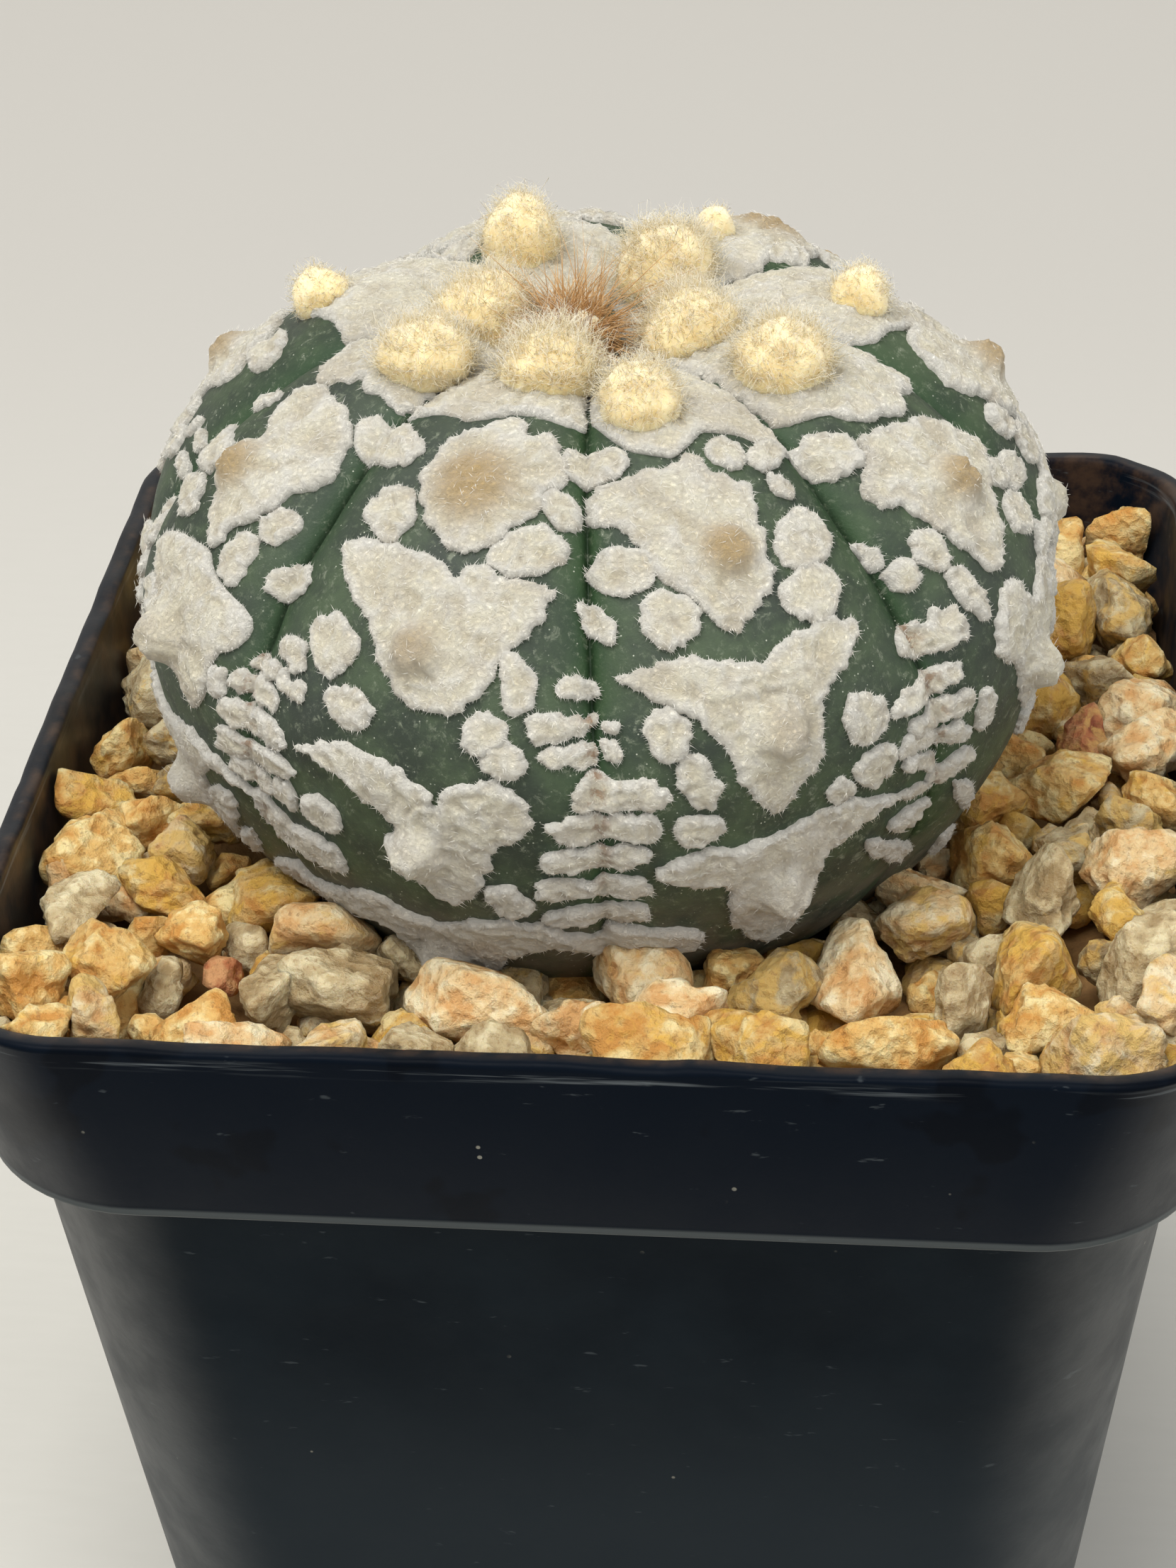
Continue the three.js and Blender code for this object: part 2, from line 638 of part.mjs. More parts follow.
function makeBud() {
  const random = randomSource(BUD_SEED);
  const seat = skinPoint(0, 0, BUD_LIFT);
  const profile = BUD_PROFILE.map(([radius, height]) => new THREE.Vector2(radius, height));
  const cone = new THREE.LatheGeometry(profile, BUD_SIDES);
  cone.rotateX(Math.PI / 2);
  const pieces = [toSolid(cone)];
  for (let hair = 0; hair < BUD_HAIRS; hair += 1) {
    const tilt = Math.acos(1 - (BUD_HAIR_FAN * (hair + 0.5)) / BUD_HAIRS);
    const length = BUD_HAIR_LENGTH + BUD_HAIR_LENGTH_SPREAD * random();
    const needle = new THREE.ConeGeometry(BUD_HAIR_RADIUS, length, 3);
    needle.translate(0, length / 2, 0);
    needle.rotateZ(-tilt);
    needle.rotateX(Math.PI / 2);
    needle.rotateZ(hair * BUD_HAIR_TURN);
    needle.translate(0, 0, BUD_HAIR_ROOT);
    pieces.push(toSolid(needle));
  }
  return joinAll(pieces).translate([seat.x, seat.y, seat.z]).subtract(plantClearance());
}

const group = new THREE.Group();

function addPiece(name, solid, color, roughness) {
  const material = new THREE.MeshStandardMaterial({ color, roughness, metalness: 0 });
  const mesh = new THREE.Mesh(largestShell(solid), material);
  mesh.name = name;
  group.add(mesh);
}

addPiece('pot', makePot(), 0x1e252c, 0.55);
addPiece('soil', makeSoil(), 0x3a2c20, 1);
addPiece('gravel', makeGravel(), 0xd9ad68, 0.75);
addPiece('cactus', makeCactus(), 0x8f9a86, 0.85);
addPiece('flower_bud', makeBud(), 0xa87350, 0.9);

export default group;
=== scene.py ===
import math
from itertools import product

import bmesh
import bpy
import numpy as np
from mathutils import Matrix, Vector
from mathutils.geometry import delaunay_2d_cdt


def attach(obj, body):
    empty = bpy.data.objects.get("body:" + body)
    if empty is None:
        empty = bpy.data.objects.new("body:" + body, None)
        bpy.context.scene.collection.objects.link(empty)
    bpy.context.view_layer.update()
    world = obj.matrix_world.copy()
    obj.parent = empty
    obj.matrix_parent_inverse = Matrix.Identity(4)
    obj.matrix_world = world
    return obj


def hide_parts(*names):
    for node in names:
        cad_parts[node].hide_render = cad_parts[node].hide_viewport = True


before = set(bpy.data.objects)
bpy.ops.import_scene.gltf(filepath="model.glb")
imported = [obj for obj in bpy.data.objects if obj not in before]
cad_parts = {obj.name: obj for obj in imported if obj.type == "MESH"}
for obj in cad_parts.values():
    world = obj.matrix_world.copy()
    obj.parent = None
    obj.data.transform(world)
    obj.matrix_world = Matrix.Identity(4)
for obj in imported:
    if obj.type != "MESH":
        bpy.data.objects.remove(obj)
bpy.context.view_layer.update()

MM = 0.001

# Plant: radius and height of its outline from the sunken crown down to the tip of its root
MERIDIAN = np.array([
    (0, 101.4), (4, 102), (8, 103.5), (12, 104.3), (17, 103.7), (22, 100.9), (26.5, 96.9),
    (29.4, 92.4), (30.3, 88.5), (30, 84), (28.9, 79), (26.6, 74), (23.6, 69.5), (19.5, 65.5),
    (15, 61), (11, 54), (7.5, 45), (4.5, 36), (1.8, 28), (0, 26),
])
PLANT_X = -1.7
WIDEST_HEIGHT = 88
LEAN = (0.02, 0.06)

# Furrows: their azimuths in degrees near the crown and near the soil, and their depth
FURROWS = np.array([
    (-131, -131), (-87, -84), (-47, -38), (-6, -1), (36, 38), (84, 84), (136, 136), (191, 189),
])
FURROW_TURN_START = 12
FURROW_TURN_LENGTH = 35
FURROW_DEPTH = 1.7
FURROW_SHARPNESS = 3
FURROW_FULL_RADIUS = 24
FURROW_CROWN_POWER = 1.3
FURROW_LOW_HEIGHT = 83
FURROW_LOW_FADE = 10
FURROW_LEAST = 0.35
CREASE_DEPTH = 0.5
CREASE_WIDTH = 0.4

# Skin mesh
SKIN_COLUMNS = 26
SKIN_ROWS = 115
SKIN_END = 66
ROOT_ROWS = 16
SKIN_RELIEF = 0.07
SKIN_RELIEF_SIZE = 4.5
FURROW_SHADE = 1.1

# Felt: height above the skin, depth of its root and spacing of its points
FELT_RISE = 0.48
FELT_EDGE_RISE = 0.26
FELT_ROOT = 0.45
FELT_ROUND = 0.17
FELT_SPACING = 0.25
DOT_SPACING = 0.23
FELT_EDGE_SPACING = 0.14
FELT_ROOT_SPACING = 1.4
CORNER_CUT = 0.24
LOWEST_FELT = 57

# Waves of a felt edge as [length, height], folds and pleats of its face
RAGGED = ((1.5, 0.22), (0.75, 0.26), (0.36, 0.2))
FOLD_DEPTH = 0.13
FOLD_SIZE = 1.6
CRUMPLE_DEPTH = 0.13
CRUMPLE_SIZE = 0.85
FELT_LEAST = 0.2
PLEAT_DEPTH = 0.1
PLEAT_TURN = 3.2
PLEAT_LENGTH = 0.3
FOLD_WARP = 0.5
FOLD_WARP_SIZE = 1.7
VALLEY_WIDTH = 0.22
SWELL_DEPTH = 0.08
SWELL_SIZE = 1.5
DOME_ROUNDNESS = 3.2
DOME_LUMPS = 0.16
DOME_LUMP_SIZE = 0.6

# Outlines of the felt patches: millimetres across the rib and up towards the crown, from the areole
FAN_LEFT = [
    (-1.3, 4.1), (-0.3, 5.5), (1.1, 5.5), (2, 4.2), (2.6, 5), (3.6, 4.6), (3.9, 3.4), (5, 2.6),
    (5.4, 1), (4.1, 0.5), (4.3, -0.7), (3.4, -2), (2.2, -3.8), (1, -4.3), (-0.6, -4.2),
    (-1.8, -3.3), (-2.9, -1.6), (-4, 0), (-3.1, 1.6), (-2.8, 3),
]
SWALLOW_LEFT = [
    (-7.5, 5), (-5.2, 6), (-2.7, 5.9), (0.2, 5.4), (1.3, 4.6), (1.4, 5.3), (2.3, 5.9), (4.1, 5),
    (6.5, 5.2), (7.5, 4.6), (6.7, 2.3), (5, 0.4), (4.8, -1), (4, -2.2), (2.8, -3.6), (1.9, -2.9),
    (0.6, -3.5), (-0.6, -2.9), (-2, -1.4), (-3.4, 0.8), (-6.4, 3.5),
]
ARROW_LEFT = [
    (-8.4, 5.4), (-6, 6.4), (-3.9, 6.8), (-1.1, 5.9), (1.1, 4.9), (1.6, 3.4), (2.2, 4.9),
    (3.7, 5.6), (5.9, 5.8), (8, 3.4), (7.1, 2), (5, 1.1), (4.3, -1.6), (2.1, -4.3), (0.9, -4.3),
    (-1.3, -2), (-2.5, 0.2), (-1.2, 1.8), (-4.5, 4.1), (-6.5, 5.2), (-8.2, 4.8),
]
BAND_LEFT = [
    (-14, 3.4), (-11.5, 4.2), (-9, 4), (-6.9, 4.8), (-4.1, 6.2), (-2.4, 5.9), (-0.9, 5), (0.8, 4.4),
    (3.4, 5.5), (6.8, 6), (8.6, 4.8), (10.2, 3.7), (11.8, 5.3), (14.2, 4.6), (17, 4.4), (17.4, 2.8),
    (15, 1.2), (12, 0.4), (10.2, 1.2), (8.3, 2.8), (6, 2), (4.2, 1.2), (3.2, -2.2), (1.2, -5.2),
    (-1.4, -5), (-3, 0.2), (-3.4, 2.8), (-6, 2.8), (-9, 1.4), (-12, 1.2),
]
FAN_RIGHT = [
    (-6.5, 5.5), (-4, 6.1), (-1.6, 6.1), (0.4, 7.1), (1.3, 4.8), (3.1, 4.3), (2.8, 2.5),
    (2.8, 0.7), (2.6, -1.7), (1.6, -3), (-0.5, -4.9), (-1.5, -4.8), (-2, -3.7), (-3.8, -1.7),
    (-4.6, 0.1), (-4.9, 1.8), (-5.8, 2.8), (-7.2, 3.4),
]
SWALLOW_RIGHT = [
    (-8.9, 4.6), (-5.6, 5.5), (-2.5, 5), (-0.8, 4.2), (1, 5.2), (4.2, 5.8), (5.5, 5.6),
    (7.3, 4.7), (4.7, 2.8), (3, 1.4), (2.6, 0.2), (2.8, -1.3), (2.3, -2.9), (1, -3.5), (-0.5, -6.2),
    (-2.9, -3.2), (-3.5, 0), (-5.3, 1.7), (-7.2, 3), (-8.7, 3.8),
]
ARROW_RIGHT = [
    (-8.5, 2.9), (-7.1, 4.2), (-5.4, 5), (-2.7, 4.5), (2.6, 5.9), (4.3, 6.2), (6, 5.4), (9.9, 4.4),
    (11.6, 4.1), (11.8, 2.9), (8, 4.1), (6, 4.3), (3.5, 2.7), (2.5, 2), (2.5, 0.4), (1.8, -4.8),
    (0.6, -6.8), (-2.3, -4.6), (-3.5, -0.7), (-3.5, 1.2), (-5.9, 1.8), (-7.7, 2.1),
]
FAN_SIDE = [
    (-5.5, 3.8), (-4.6, 3.9), (-3.7, 4.9), (-3.2, 6.1), (-1.1, 5.5), (1.8, 4.3), (3.7, 3.2),
    (5.2, 1.4), (7.6, 0.1), (7.4, -0.9), (5.5, -0.9), (3.6, -1.8), (1.9, -2.8), (1.2, -4.1),
    (-0.5, -5.7), (-1.8, -5.9), (-2.4, -5), (-2.7, -3.9), (-3.6, -2.9), (-4, -1), (-4.7, 0.8),
    (-5.9, 1.3), (-6, 2.5),
]
SWALLOW_SIDE = [
    (-5, 5.5), (-4.2, 6.4), (-2.9, 7.4), (-1.5, 7.2), (0.2, 4.4), (2.2, 6.4), (4.4, 5.6),
    (5, 2.4), (3, 0), (4, -1.3), (3.2, -3), (0.8, -4.2), (-1, -2.6), (-3.4, 2.4), (-5.7, 3.4),
]
FAN_FAR = [
    (-1.6, 7), (0.1, 7.1), (1.7, 7.1), (3.4, 7), (4.9, 5.8), (5.6, 4.4), (6.2, 3), (5.8, 1.9),
    (5.1, 0.9), (4.6, -1.3), (3.2, -3.1), (2.7, -4.8), (1.8, -4.6), (0.7, -3.5), (-0.8, -2),
    (-2.4, -0.2), (-1.7, 1), (-0.7, 2.4), (-1.8, 3.4), (-2.7, 5.1),
]
SWALLOW_FAR = [
    (-5.1, 4.6), (-2.9, 5.8), (-0.4, 6.3), (1.3, 6.6), (2.4, 5.8), (4, 5.3), (6.9, 4.7), (7.6, 3.5),
    (7, 2), (5.7, 1.3), (5.5, -1.5), (3.9, -3.6), (3, -2.9), (1.6, -1.6), (-1.3, -1), (-4, 0.6),
    (-2, 1.8), (-5.4, 3.4),
]

# One side of the plant: felt patches as [outline, areole's place across the rib and down from the
# crown], and loose dots as [across, distance from the crown, width, height, tilt in degrees]
PATTERN_LEFT = {
    "patches": [
        (FAN_LEFT, 1, 21.1), (SWALLOW_LEFT, 0.6, 31.6), (ARROW_LEFT, 0.8, 44.6),
        (BAND_LEFT, 0, 56.5),
    ],
    "dots": [
        (-6.5, 19.4, 6, 3.4, 5), (-3.9, 23.8, 3.9, 3.4, 15), (5.4, 24.7, 4.3, 3.1, 10),
        (6.9, 32.6, 2.3, 3.9, 30), (-5.2, 32.3, 3.7, 3.5, -20), (-8.6, 33.8, 3, 1.9, 0),
        (-3.4, 35.7, 3.5, 2.4, 0), (5.3, 35.8, 2.7, 2.7, 0), (6.8, 37.4, 2.9, 2.4, -20),
        (6, 48.4, 2.7, 3.1, 20), (-6, 44, 3.2, 2.5, 10),
    ],
}
PATTERN_RIGHT = {
    "patches": [
        (FAN_RIGHT, -0.5, 25.7), (SWALLOW_RIGHT, -0.2, 36.7), (ARROW_RIGHT, -0.2, 49),
    ],
    "dots": [
        (-6, 18.6, 4.3, 2.8, 5), (-9, 21.9, 2.3, 2.6, -20), (-6.8, 25.8, 4.2, 3, 10),
        (-9.4, 28.8, 2, 3, 10), (-5, 29.1, 3.3, 3.6, 0), (-11.6, 32.9, 3, 1.5, 0),
        (4.8, 25.9, 4.1, 3.8, 0), (4, 29.2, 4.3, 3.5, 0), (4.6, 22.2, 2.2, 1.2, -50),
        (4.7, 20, 2.9, 2.3, 20), (2, 19.3, 2, 2.6, 40), (-6.9, 35.9, 2.9, 3, 0),
        (-5.6, 39, 2.7, 3.8, 15), (-5.9, 42.6, 3.2, 2.7, 10), (5.7, 37.4, 3.5, 3.2, -10),
        (6.1, 41.1, 3.2, 3.1, 0), (3.4, 42, 2.2, 2, 0), (9.3, 47.2, 4.2, 1.6, 0),
        (8.4, 50.1, 7.2, 1.7, -42),
    ],
}
PATTERN_SIDE = {
    "patches": [(FAN_SIDE, 0, 27.5), (SWALLOW_SIDE, 1.4, 41.8)],
    "dots": [
        (-5.6, 21.4, 3.7, 3.5, 0), (-7.9, 30.4, 2, 2.2, 0), (-5.3, 29.8, 2.6, 3.4, 0),
        (-8.6, 28.1, 0.9, 2.5, 0), (-4.6, 33.5, 2, 3.9, 10), (-5.4, 41.7, 1.9, 3.2, 0),
        (6, 29.8, 4.6, 2, -15), (4.6, 32.3, 4.6, 2.8, -10), (-5.6, 48.8, 5.6, 1.2, -50),
        (6.4, 38.6, 5, 2, -35), (-3.5, 54.6, 2, 3, 20),
    ],
}
PATTERN_FAR = {
    "patches": [
        (FAN_FAR, 0.1, 26.1), (SWALLOW_FAR, 1.2, 37.6), (ARROW_RIGHT, 0, 49.5),
    ],
    "dots": [
        (-5, 27, 5, 3.2, 0), (-3.4, 29.9, 4, 2.6, 5), (-4.8, 22.7, 3.2, 1.4, 40),
        (-10.9, 29.3, 1.9, 1.6, 0), (-11.4, 31.4, 1.9, 1.2, 0), (6, 27.4, 2.5, 2.7, 0),
        (5.1, 30.3, 2.6, 3.3, 10), (9.2, 29.9, 3.3, 3.2, 0), (-1.5, 36.4, 3.9, 2.3, 0),
        (4.4, 49.2, 6.4, 2.2, 45), (5, 52.2, 4.6, 1.5, 50),
    ],
}

# The ribs in the furrows' order: the pattern, 1 or -1 where it is mirrored, how far it is moved down,
# and the lower edge of the felt round its crown, from the left furrow to the right one
RIBS = [
    (PATTERN_LEFT, 1, 0, (17, 16.6, 16, 14.8, 15.2, 14.8)),
    (PATTERN_RIGHT, 1, 0, (14.2, 17.6, 18.8, 17.6, 18.6, 20.4)),
    (PATTERN_SIDE, 1, 0, (17.4, 19, 21, 22, 21.8, 20.8)),
    (PATTERN_FAR, -1, 2, (17, 19.4, 21.8, 22.6, 19.4, 17)),
    (PATTERN_LEFT, -1, -2, (12, 16.6, 17, 15, 15.6, 13.4)),
    (PATTERN_RIGHT, -1, -3, (12, 14, 15.2, 15, 14.6, 11)),
    (PATTERN_SIDE, -1, 1.5, (11.6, 16, 19, 21, 18, 16.6)),
    (PATTERN_FAR, 1, 0, (15.4, 18, 19, 17.4, 17, 16.4)),
]
COLLAR_START = 2.4
COLLAR_CRACK = 0.16
COLLAR_SCALLOPS = 0.45
COLLAR_CENTRE = (0, -8)

# Felt bars across the furrows: [offset to the right, distance from the crown, width, height, tilt]
BARS_LEFT = [
    (1, 35.5, 3.4, 1.2, 0), (3.9, 35.8, 2.8, 1.9, 0), (0.2, 37.2, 5.4, 1.8, 4),
    (-3, 38.1, 1.5, 2.2, 0), (0.6, 39.4, 6.4, 2.3, 8), (0.4, 41.8, 8, 2.1, 3),
    (-0.2, 43.8, 4.4, 1.8, -10), (3, 43.8, 2, 2.2, 0), (3, 47.4, 8.6, 3.2, -6),
]
BARS_MIDDLE = [
    (-1.9, 35.3, 4.6, 1.8, 0), (1.1, 35.4, 1.3, 1, 0), (-1.5, 37.1, 3.7, 1.6, -6),
    (1, 36.8, 1.1, 1.4, 0), (1.5, 39.7, 6.1, 2.5, 0), (0.4, 42.2, 7.8, 2.3, 4),
    (-0.5, 44.7, 6.7, 2.3, 3), (-0.8, 47.2, 8.1, 2.2, 0), (-0.3, 49.8, 7.3, 2, 3),
]
BARS_RIGHT = [
    (1.4, 34.6, 5.5, 2.6, -5), (-0.5, 37.8, 6.9, 2, 3), (0.2, 39.8, 6.3, 1.7, 0),
    (-0.4, 41.4, 7.6, 1.7, -17), (-2, 42.7, 3.8, 1.2, -25), (1.5, 44.8, 4.4, 1.8, 10),
]
# The bars on each furrow, and whether they lie mirrored
FURROW_BARS = [
    (BARS_LEFT, 1), (BARS_MIDDLE, 1), (BARS_RIGHT, 1), (BARS_LEFT, -1),
    (BARS_MIDDLE, -1), (BARS_RIGHT, -1), (BARS_MIDDLE, 1), (BARS_RIGHT, 1),
]
BAR_OUTLINE = np.array([
    (-1, 0), (-0.88, 0.75), (-0.5, 1), (-0.15, 0.9), (0, 0.72), (0.15, 0.9), (0.55, 1), (0.9, 0.75),
    (1, 0), (0.88, -0.75), (0.5, -1), (0.15, -0.9), (0, -0.72), (-0.15, -0.9), (-0.55, -1),
    (-0.9, -0.75),
])
BAR_WOBBLE = (0.85, 1.1)
SEAM_WIDTH = 0.4
SCAR_WIDTH = 0.7
SEAM_DEPTH = 0.14
DOT_CORNERS = 8
DOT_HALF = 0.54
DOT_RAGGEDNESS = 0.85

# Areoles. Woolly tufts as [azimuth, distance from the crown, radius, height, how far their hairs are
# combed upward], and low domes: those nearer the crown than the limit are wide and flat
TUFTS = [
    (-102, 9.9, 3.9, 3.9, 0.5), (-73, 14.3, 3.3, 3.7, 0), (-141, 13.3, 3.7, 3.8, 0),
    (-9, 6.6, 4.2, 4.3, 0), (-31, 14.8, 3.8, 3.8, 0), (12, 17.5, 2.4, 3, 0),
    (59, 8.5, 4.2, 4.6, 0), (61, 14.4, 1.7, 2.4, 0), (121, 11.8, 3.2, 4.3, 0),
    (168, 19.3, 2.3, 2.9, 0), (-178, 7.6, 4.1, 4.4, 0),
]
FLAT_DOME_LIMIT = 24
FLAT_DOME = (2.4, 0.75)
WIDE_DOME_LIMIT = 34
WIDE_DOME = (1.5, 1.3)
KNOB = (1.5, 1.7)

# Hairs: at the felt's edges, on its face, in the wool and on the bud
EDGE_HAIR_PITCH = 0.115
EDGE_HAIR_LENGTH = (0.1, 0.3)
EDGE_HAIR_TURN = 0.9
EDGE_HAIR_CLIMB = (-0.1, 0.5)
FACE_HAIRS = 4
FACE_HAIR_LENGTH = (0.3, 0.65)
FACE_HAIR_CLIMB = 0.3
FELT_HAIR_RADIUS = 0.021
WOOL_HAIRS = 138
WOOL_HAIR_LENGTH = (0.45, 1.3)
WOOL_HAIR_RADIUS = 0.021
WOOL_CORE = 0.79
WOOL_FLARE = 0.14
WOOL_PEAK = 0.06
WOOL_SQUARE = 0.6
WOOL_LIFT = 0.3
WOOL_LUMPS = 0.12
WOOL_USUAL_RADIUS = 3.6
WOOL_COMB_LENGTH = 0.3
WOOL_LOCKS = 0.7
WOOL_TANGLE = 0.8
WOOL_BEND = 0.35
SKIRT_SHARE = 0.25
SKIRT_CLIMB = (-0.45, 0.05)
BUD_SHIFT = (-1.4, -1.2, 0.1)
BUD_HAIRS = 1300
BUD_HAIR_LENGTH = (1, 2.2)
BUD_HAIR_RADIUS = 0.046
BUD_LEAN = (0.1, 0.05, 0.2)
BUD_SIZE = (2.7, 2.7, 3)
BUD_LUMPS = 0.14
BUD_FOOT = -0.9
BUD_OPENING = 0.85
BUD_TURN = 2.4
BUD_SPREAD = 0.3
BUD_SAG = 0.3
BUD_CURL = 1.3

# Pot
POT_HEIGHT = 75
RIM_HALF = 40
RIM_CORNER = 8.3
RIM_LIP = 1.5
BAND_BOTTOM = 61.3
BAND_HALF = 38.8
BAND_CORNER = 11.3
BEAD = 0.3
BEAD_HEIGHT = 0.7
SHOULDER_HALF = 37.5
WALL = 1.2
WALL_CORNER = 12.9
WALL_SLOPE = 0.11
FOOT_HALF = SHOULDER_HALF - WALL_SLOPE * BAND_BOTTOM
FOOT_CHAMFER = 0.8
FOOT_WIDTH = 7
FOOT_RECESS = 2
FLOOR_TOP = 3.6
DRAIN_RADIUS = 3.2
DRAIN_PITCH = 14
DRAIN_SIDES = 32
DRAIN_CUT = 8
POT_CORNER_STEPS = 16
POT_SIDE_STEPS = 44
POT_WALL_STEP = 30
# The worn rim: its waves as [length, height, seed], its nicks, and how far it is worn down
RIM_WAVES = ((7, 0.1, 60), (2.6, 0.16, 61))
RIM_NICK_SIZE = 3.4
RIM_NICK_DEPTH = 0.5
RIM_WEAR = 0.2
RIM_WEAR_HEIGHT = 1.2

# Gravel: the stones of the frame, drawn in the same order, and smaller ones below them
GRAVEL_LEVEL = 69
GRAVEL_FALL_BACK = 0.05
GRAVEL_RISE_RIGHT = 0.015
STONE_SIZE = (4.4, 7.2)
STONE_SPACING = 0.88
STONE_TRIES = 2600
STONE_MOST = 145
STONE_SEED = 20
STONE_LIFT = 0.12
STONE_SWELL = 1.17
HEAP_START = 22
HEAP_WIDTH = 12
HEAP_HEIGHT = 1.5
STONE_WALL_GAP = 1.5
STONE_REACH = RIM_HALF - RIM_LIP - STONE_WALL_GAP
WALL_CLEARANCE = 0.35
STONE_PLANT_RADIUS = 25
STONE_FLATNESS = (0.72, 0.62)
STONE_FLATNESS_SPREAD = 0.25
# Planes that cut a stone, their distances from its middle, and how sharp its edges are
STONE_CORNERS = 14
STONE_CUTS = (0.6, 0.95)
STONE_EDGE = 24
# Lumps on a stone's face as [length, height]
STONE_LUMPS = ((2.4, 0.26), (1.2, 0.28), (0.6, 0.22))
# Kinds of stone and their shares
STONE_KINDS = {"gold": 0.44, "cream": 0.27, "quartz": 0.27, "rust": 0.02}
SMALL_STONES = 130
SMALL_STONE_SIZE = (3, 4.8)
SMALL_STONE_SPACING = 0.7
SMALL_STONE_DROP = 0.8
LOWER_STONES = 210
LOWER_STONE_SIZE = (4.6, 6.6)
LOWER_STONE_DROP = 2.8
BED_DROP = 4.6
BED_BOTTOM = 62.4
BED_STEPS = 40
BED_RELIEF = 0.9
BED_RELIEF_SIZE = 2.2

# Camera, found from the pot's corners in the photograph
CAMERA_AT = Vector((21.416, -214.468, 207.831))
CAMERA_TARGET = Vector((-2.702, -0.114, 69.119))
CAMERA_ROLL = math.radians(-1.807)
CAMERA_FOCAL_PX = 5227.9
PHOTO_HEIGHT_PX = 2212
SENSOR_WIDTH = 36
CLIP_START = 0.01

# Floor and light, in metres: lamps as [name, place, size, power, colour]
FLOOR_HALF = 1.5
FLOOR_BEND = 0.5
FLOOR_CURVE = 0.35
FLOOR_STEPS = 12
PLANT_MIDDLE = (0, 0, 0.085)
LAMPS = [
    ("key", (-0.3, -0.3, 1.3), 0.95, 16.6, (1, 0.985, 0.96)),
    ("fill", (0.7, -0.6, 0.6), 0.8, 2.8, (0.97, 0.98, 1)),
]
ROOM_COLOUR = (0.96, 0.97, 1, 1)
ROOM_STRENGTH = 0.79

PIECE_SEED = 11


# Random draws and noise

def mulberry(seed):
    """Seeded random numbers from 0 to 1, the same ones as in the part's source."""
    state = seed
    while True:
        state = (state + 0x6D2B79F5) & 0xFFFFFFFF
        t = ((state ^ (state >> 15)) * (1 | state)) & 0xFFFFFFFF
        t = ((t + (((t ^ (t >> 7)) * (61 | t)) & 0xFFFFFFFF)) ^ t) & 0xFFFFFFFF
        yield ((t ^ (t >> 14)) & 0xFFFFFFFF) / 4294967296


def lattice_noise(points, seed=0):
    """Smooth noise from -1 to 1 at (N, 3) points, on a lattice one unit wide."""
    cell = np.floor(points).astype(np.int64)
    share = points - cell
    share = share * share * (3 - 2 * share)
    total = np.zeros(len(points))
    for corner in product((0, 1), repeat=3):
        at = cell + corner
        code = at[:, 0] * 73856093 ^ at[:, 1] * 19349663 ^ at[:, 2] * 83492791 ^ (seed * 7919 + 17)
        code = ((code ^ (code >> 13)) * 1274126177) & 0x7FFFFFFF
        code = ((code ^ (code >> 15)) * 668265263) & 0x7FFFFFFF
        weight = np.prod(np.where(corner, share, 1 - share), axis=1)
        total += weight * ((code % 65536) / 32768 - 1)
    return total


def fractal_noise(points, octaves=3, seed=0):
    total = np.zeros(len(points))
    for octave in range(octaves):
        total += lattice_noise(points * 2 ** octave, seed + octave) / 2 ** octave
    return total


# The plant's surface

def catmull_rom(points, places):
    """Uniform Catmull-Rom curve through an open row of points."""
    last = len(points) - 1
    index = np.clip(np.floor(places).astype(int), 0, last - 1)
    t = (places - index)[:, None]
    before = points[np.maximum(index - 1, 0)]
    start = points[index]
    end = points[index + 1]
    after = points[np.minimum(index + 2, last)]
    leave = (end - before) / 2
    arrive = (after - start) / 2
    cubic = (2 * start - 2 * end + leave + arrive) * t ** 3
    square = (-3 * start + 3 * end - 2 * leave - arrive) * t ** 2
    return cubic + square + leave * t + start


CURVE = catmull_rom(MERIDIAN, np.linspace(0, len(MERIDIAN) - 1, 4001))
CURVE_LENGTHS = np.concatenate([[0], np.cumsum(np.hypot(*np.diff(CURVE, axis=0).T))])
CURVE_SLOPES = np.gradient(CURVE, CURVE_LENGTHS, axis=0)
MERIDIAN_LENGTH = CURVE_LENGTHS[-1]


def radius_at(distance):
    return np.maximum(np.interp(distance, CURVE_LENGTHS, CURVE[:, 0]), 0)


def height_at(distance):
    return np.interp(distance, CURVE_LENGTHS, CURVE[:, 1])


def furrow_azimuth(index, distance):
    """Azimuth of a furrow in radians; past the last furrow it starts again."""
    upper, lower = FURROWS[index % len(FURROWS)]
    turn = np.clip((distance - FURROW_TURN_START) / FURROW_TURN_LENGTH, 0, 1)
    return np.radians(upper + (lower - upper) * turn + 360 * (index // len(FURROWS)))


def rib_span(rib, distance):
    """Azimuth of a rib's crest and half of its width, in radians."""
    left = furrow_azimuth(rib, distance)
    right = furrow_azimuth(rib + 1, distance)
    return (left + right) / 2, (right - left) / 2


def nearness_to_furrow(azimuth, distance):
    """Where an azimuth lies between its two furrows: 0 on the crest, 1 in a furrow."""
    start = furrow_azimuth(0, distance)
    turned = start + np.mod(azimuth - start, 2 * np.pi)
    nearness = np.ones(np.shape(turned))
    for rib in range(len(FURROWS)):
        crest, half = rib_span(rib, distance)
        offset = np.abs(turned - crest) / half
        nearness = np.where(offset <= 1, offset, nearness)
    return nearness


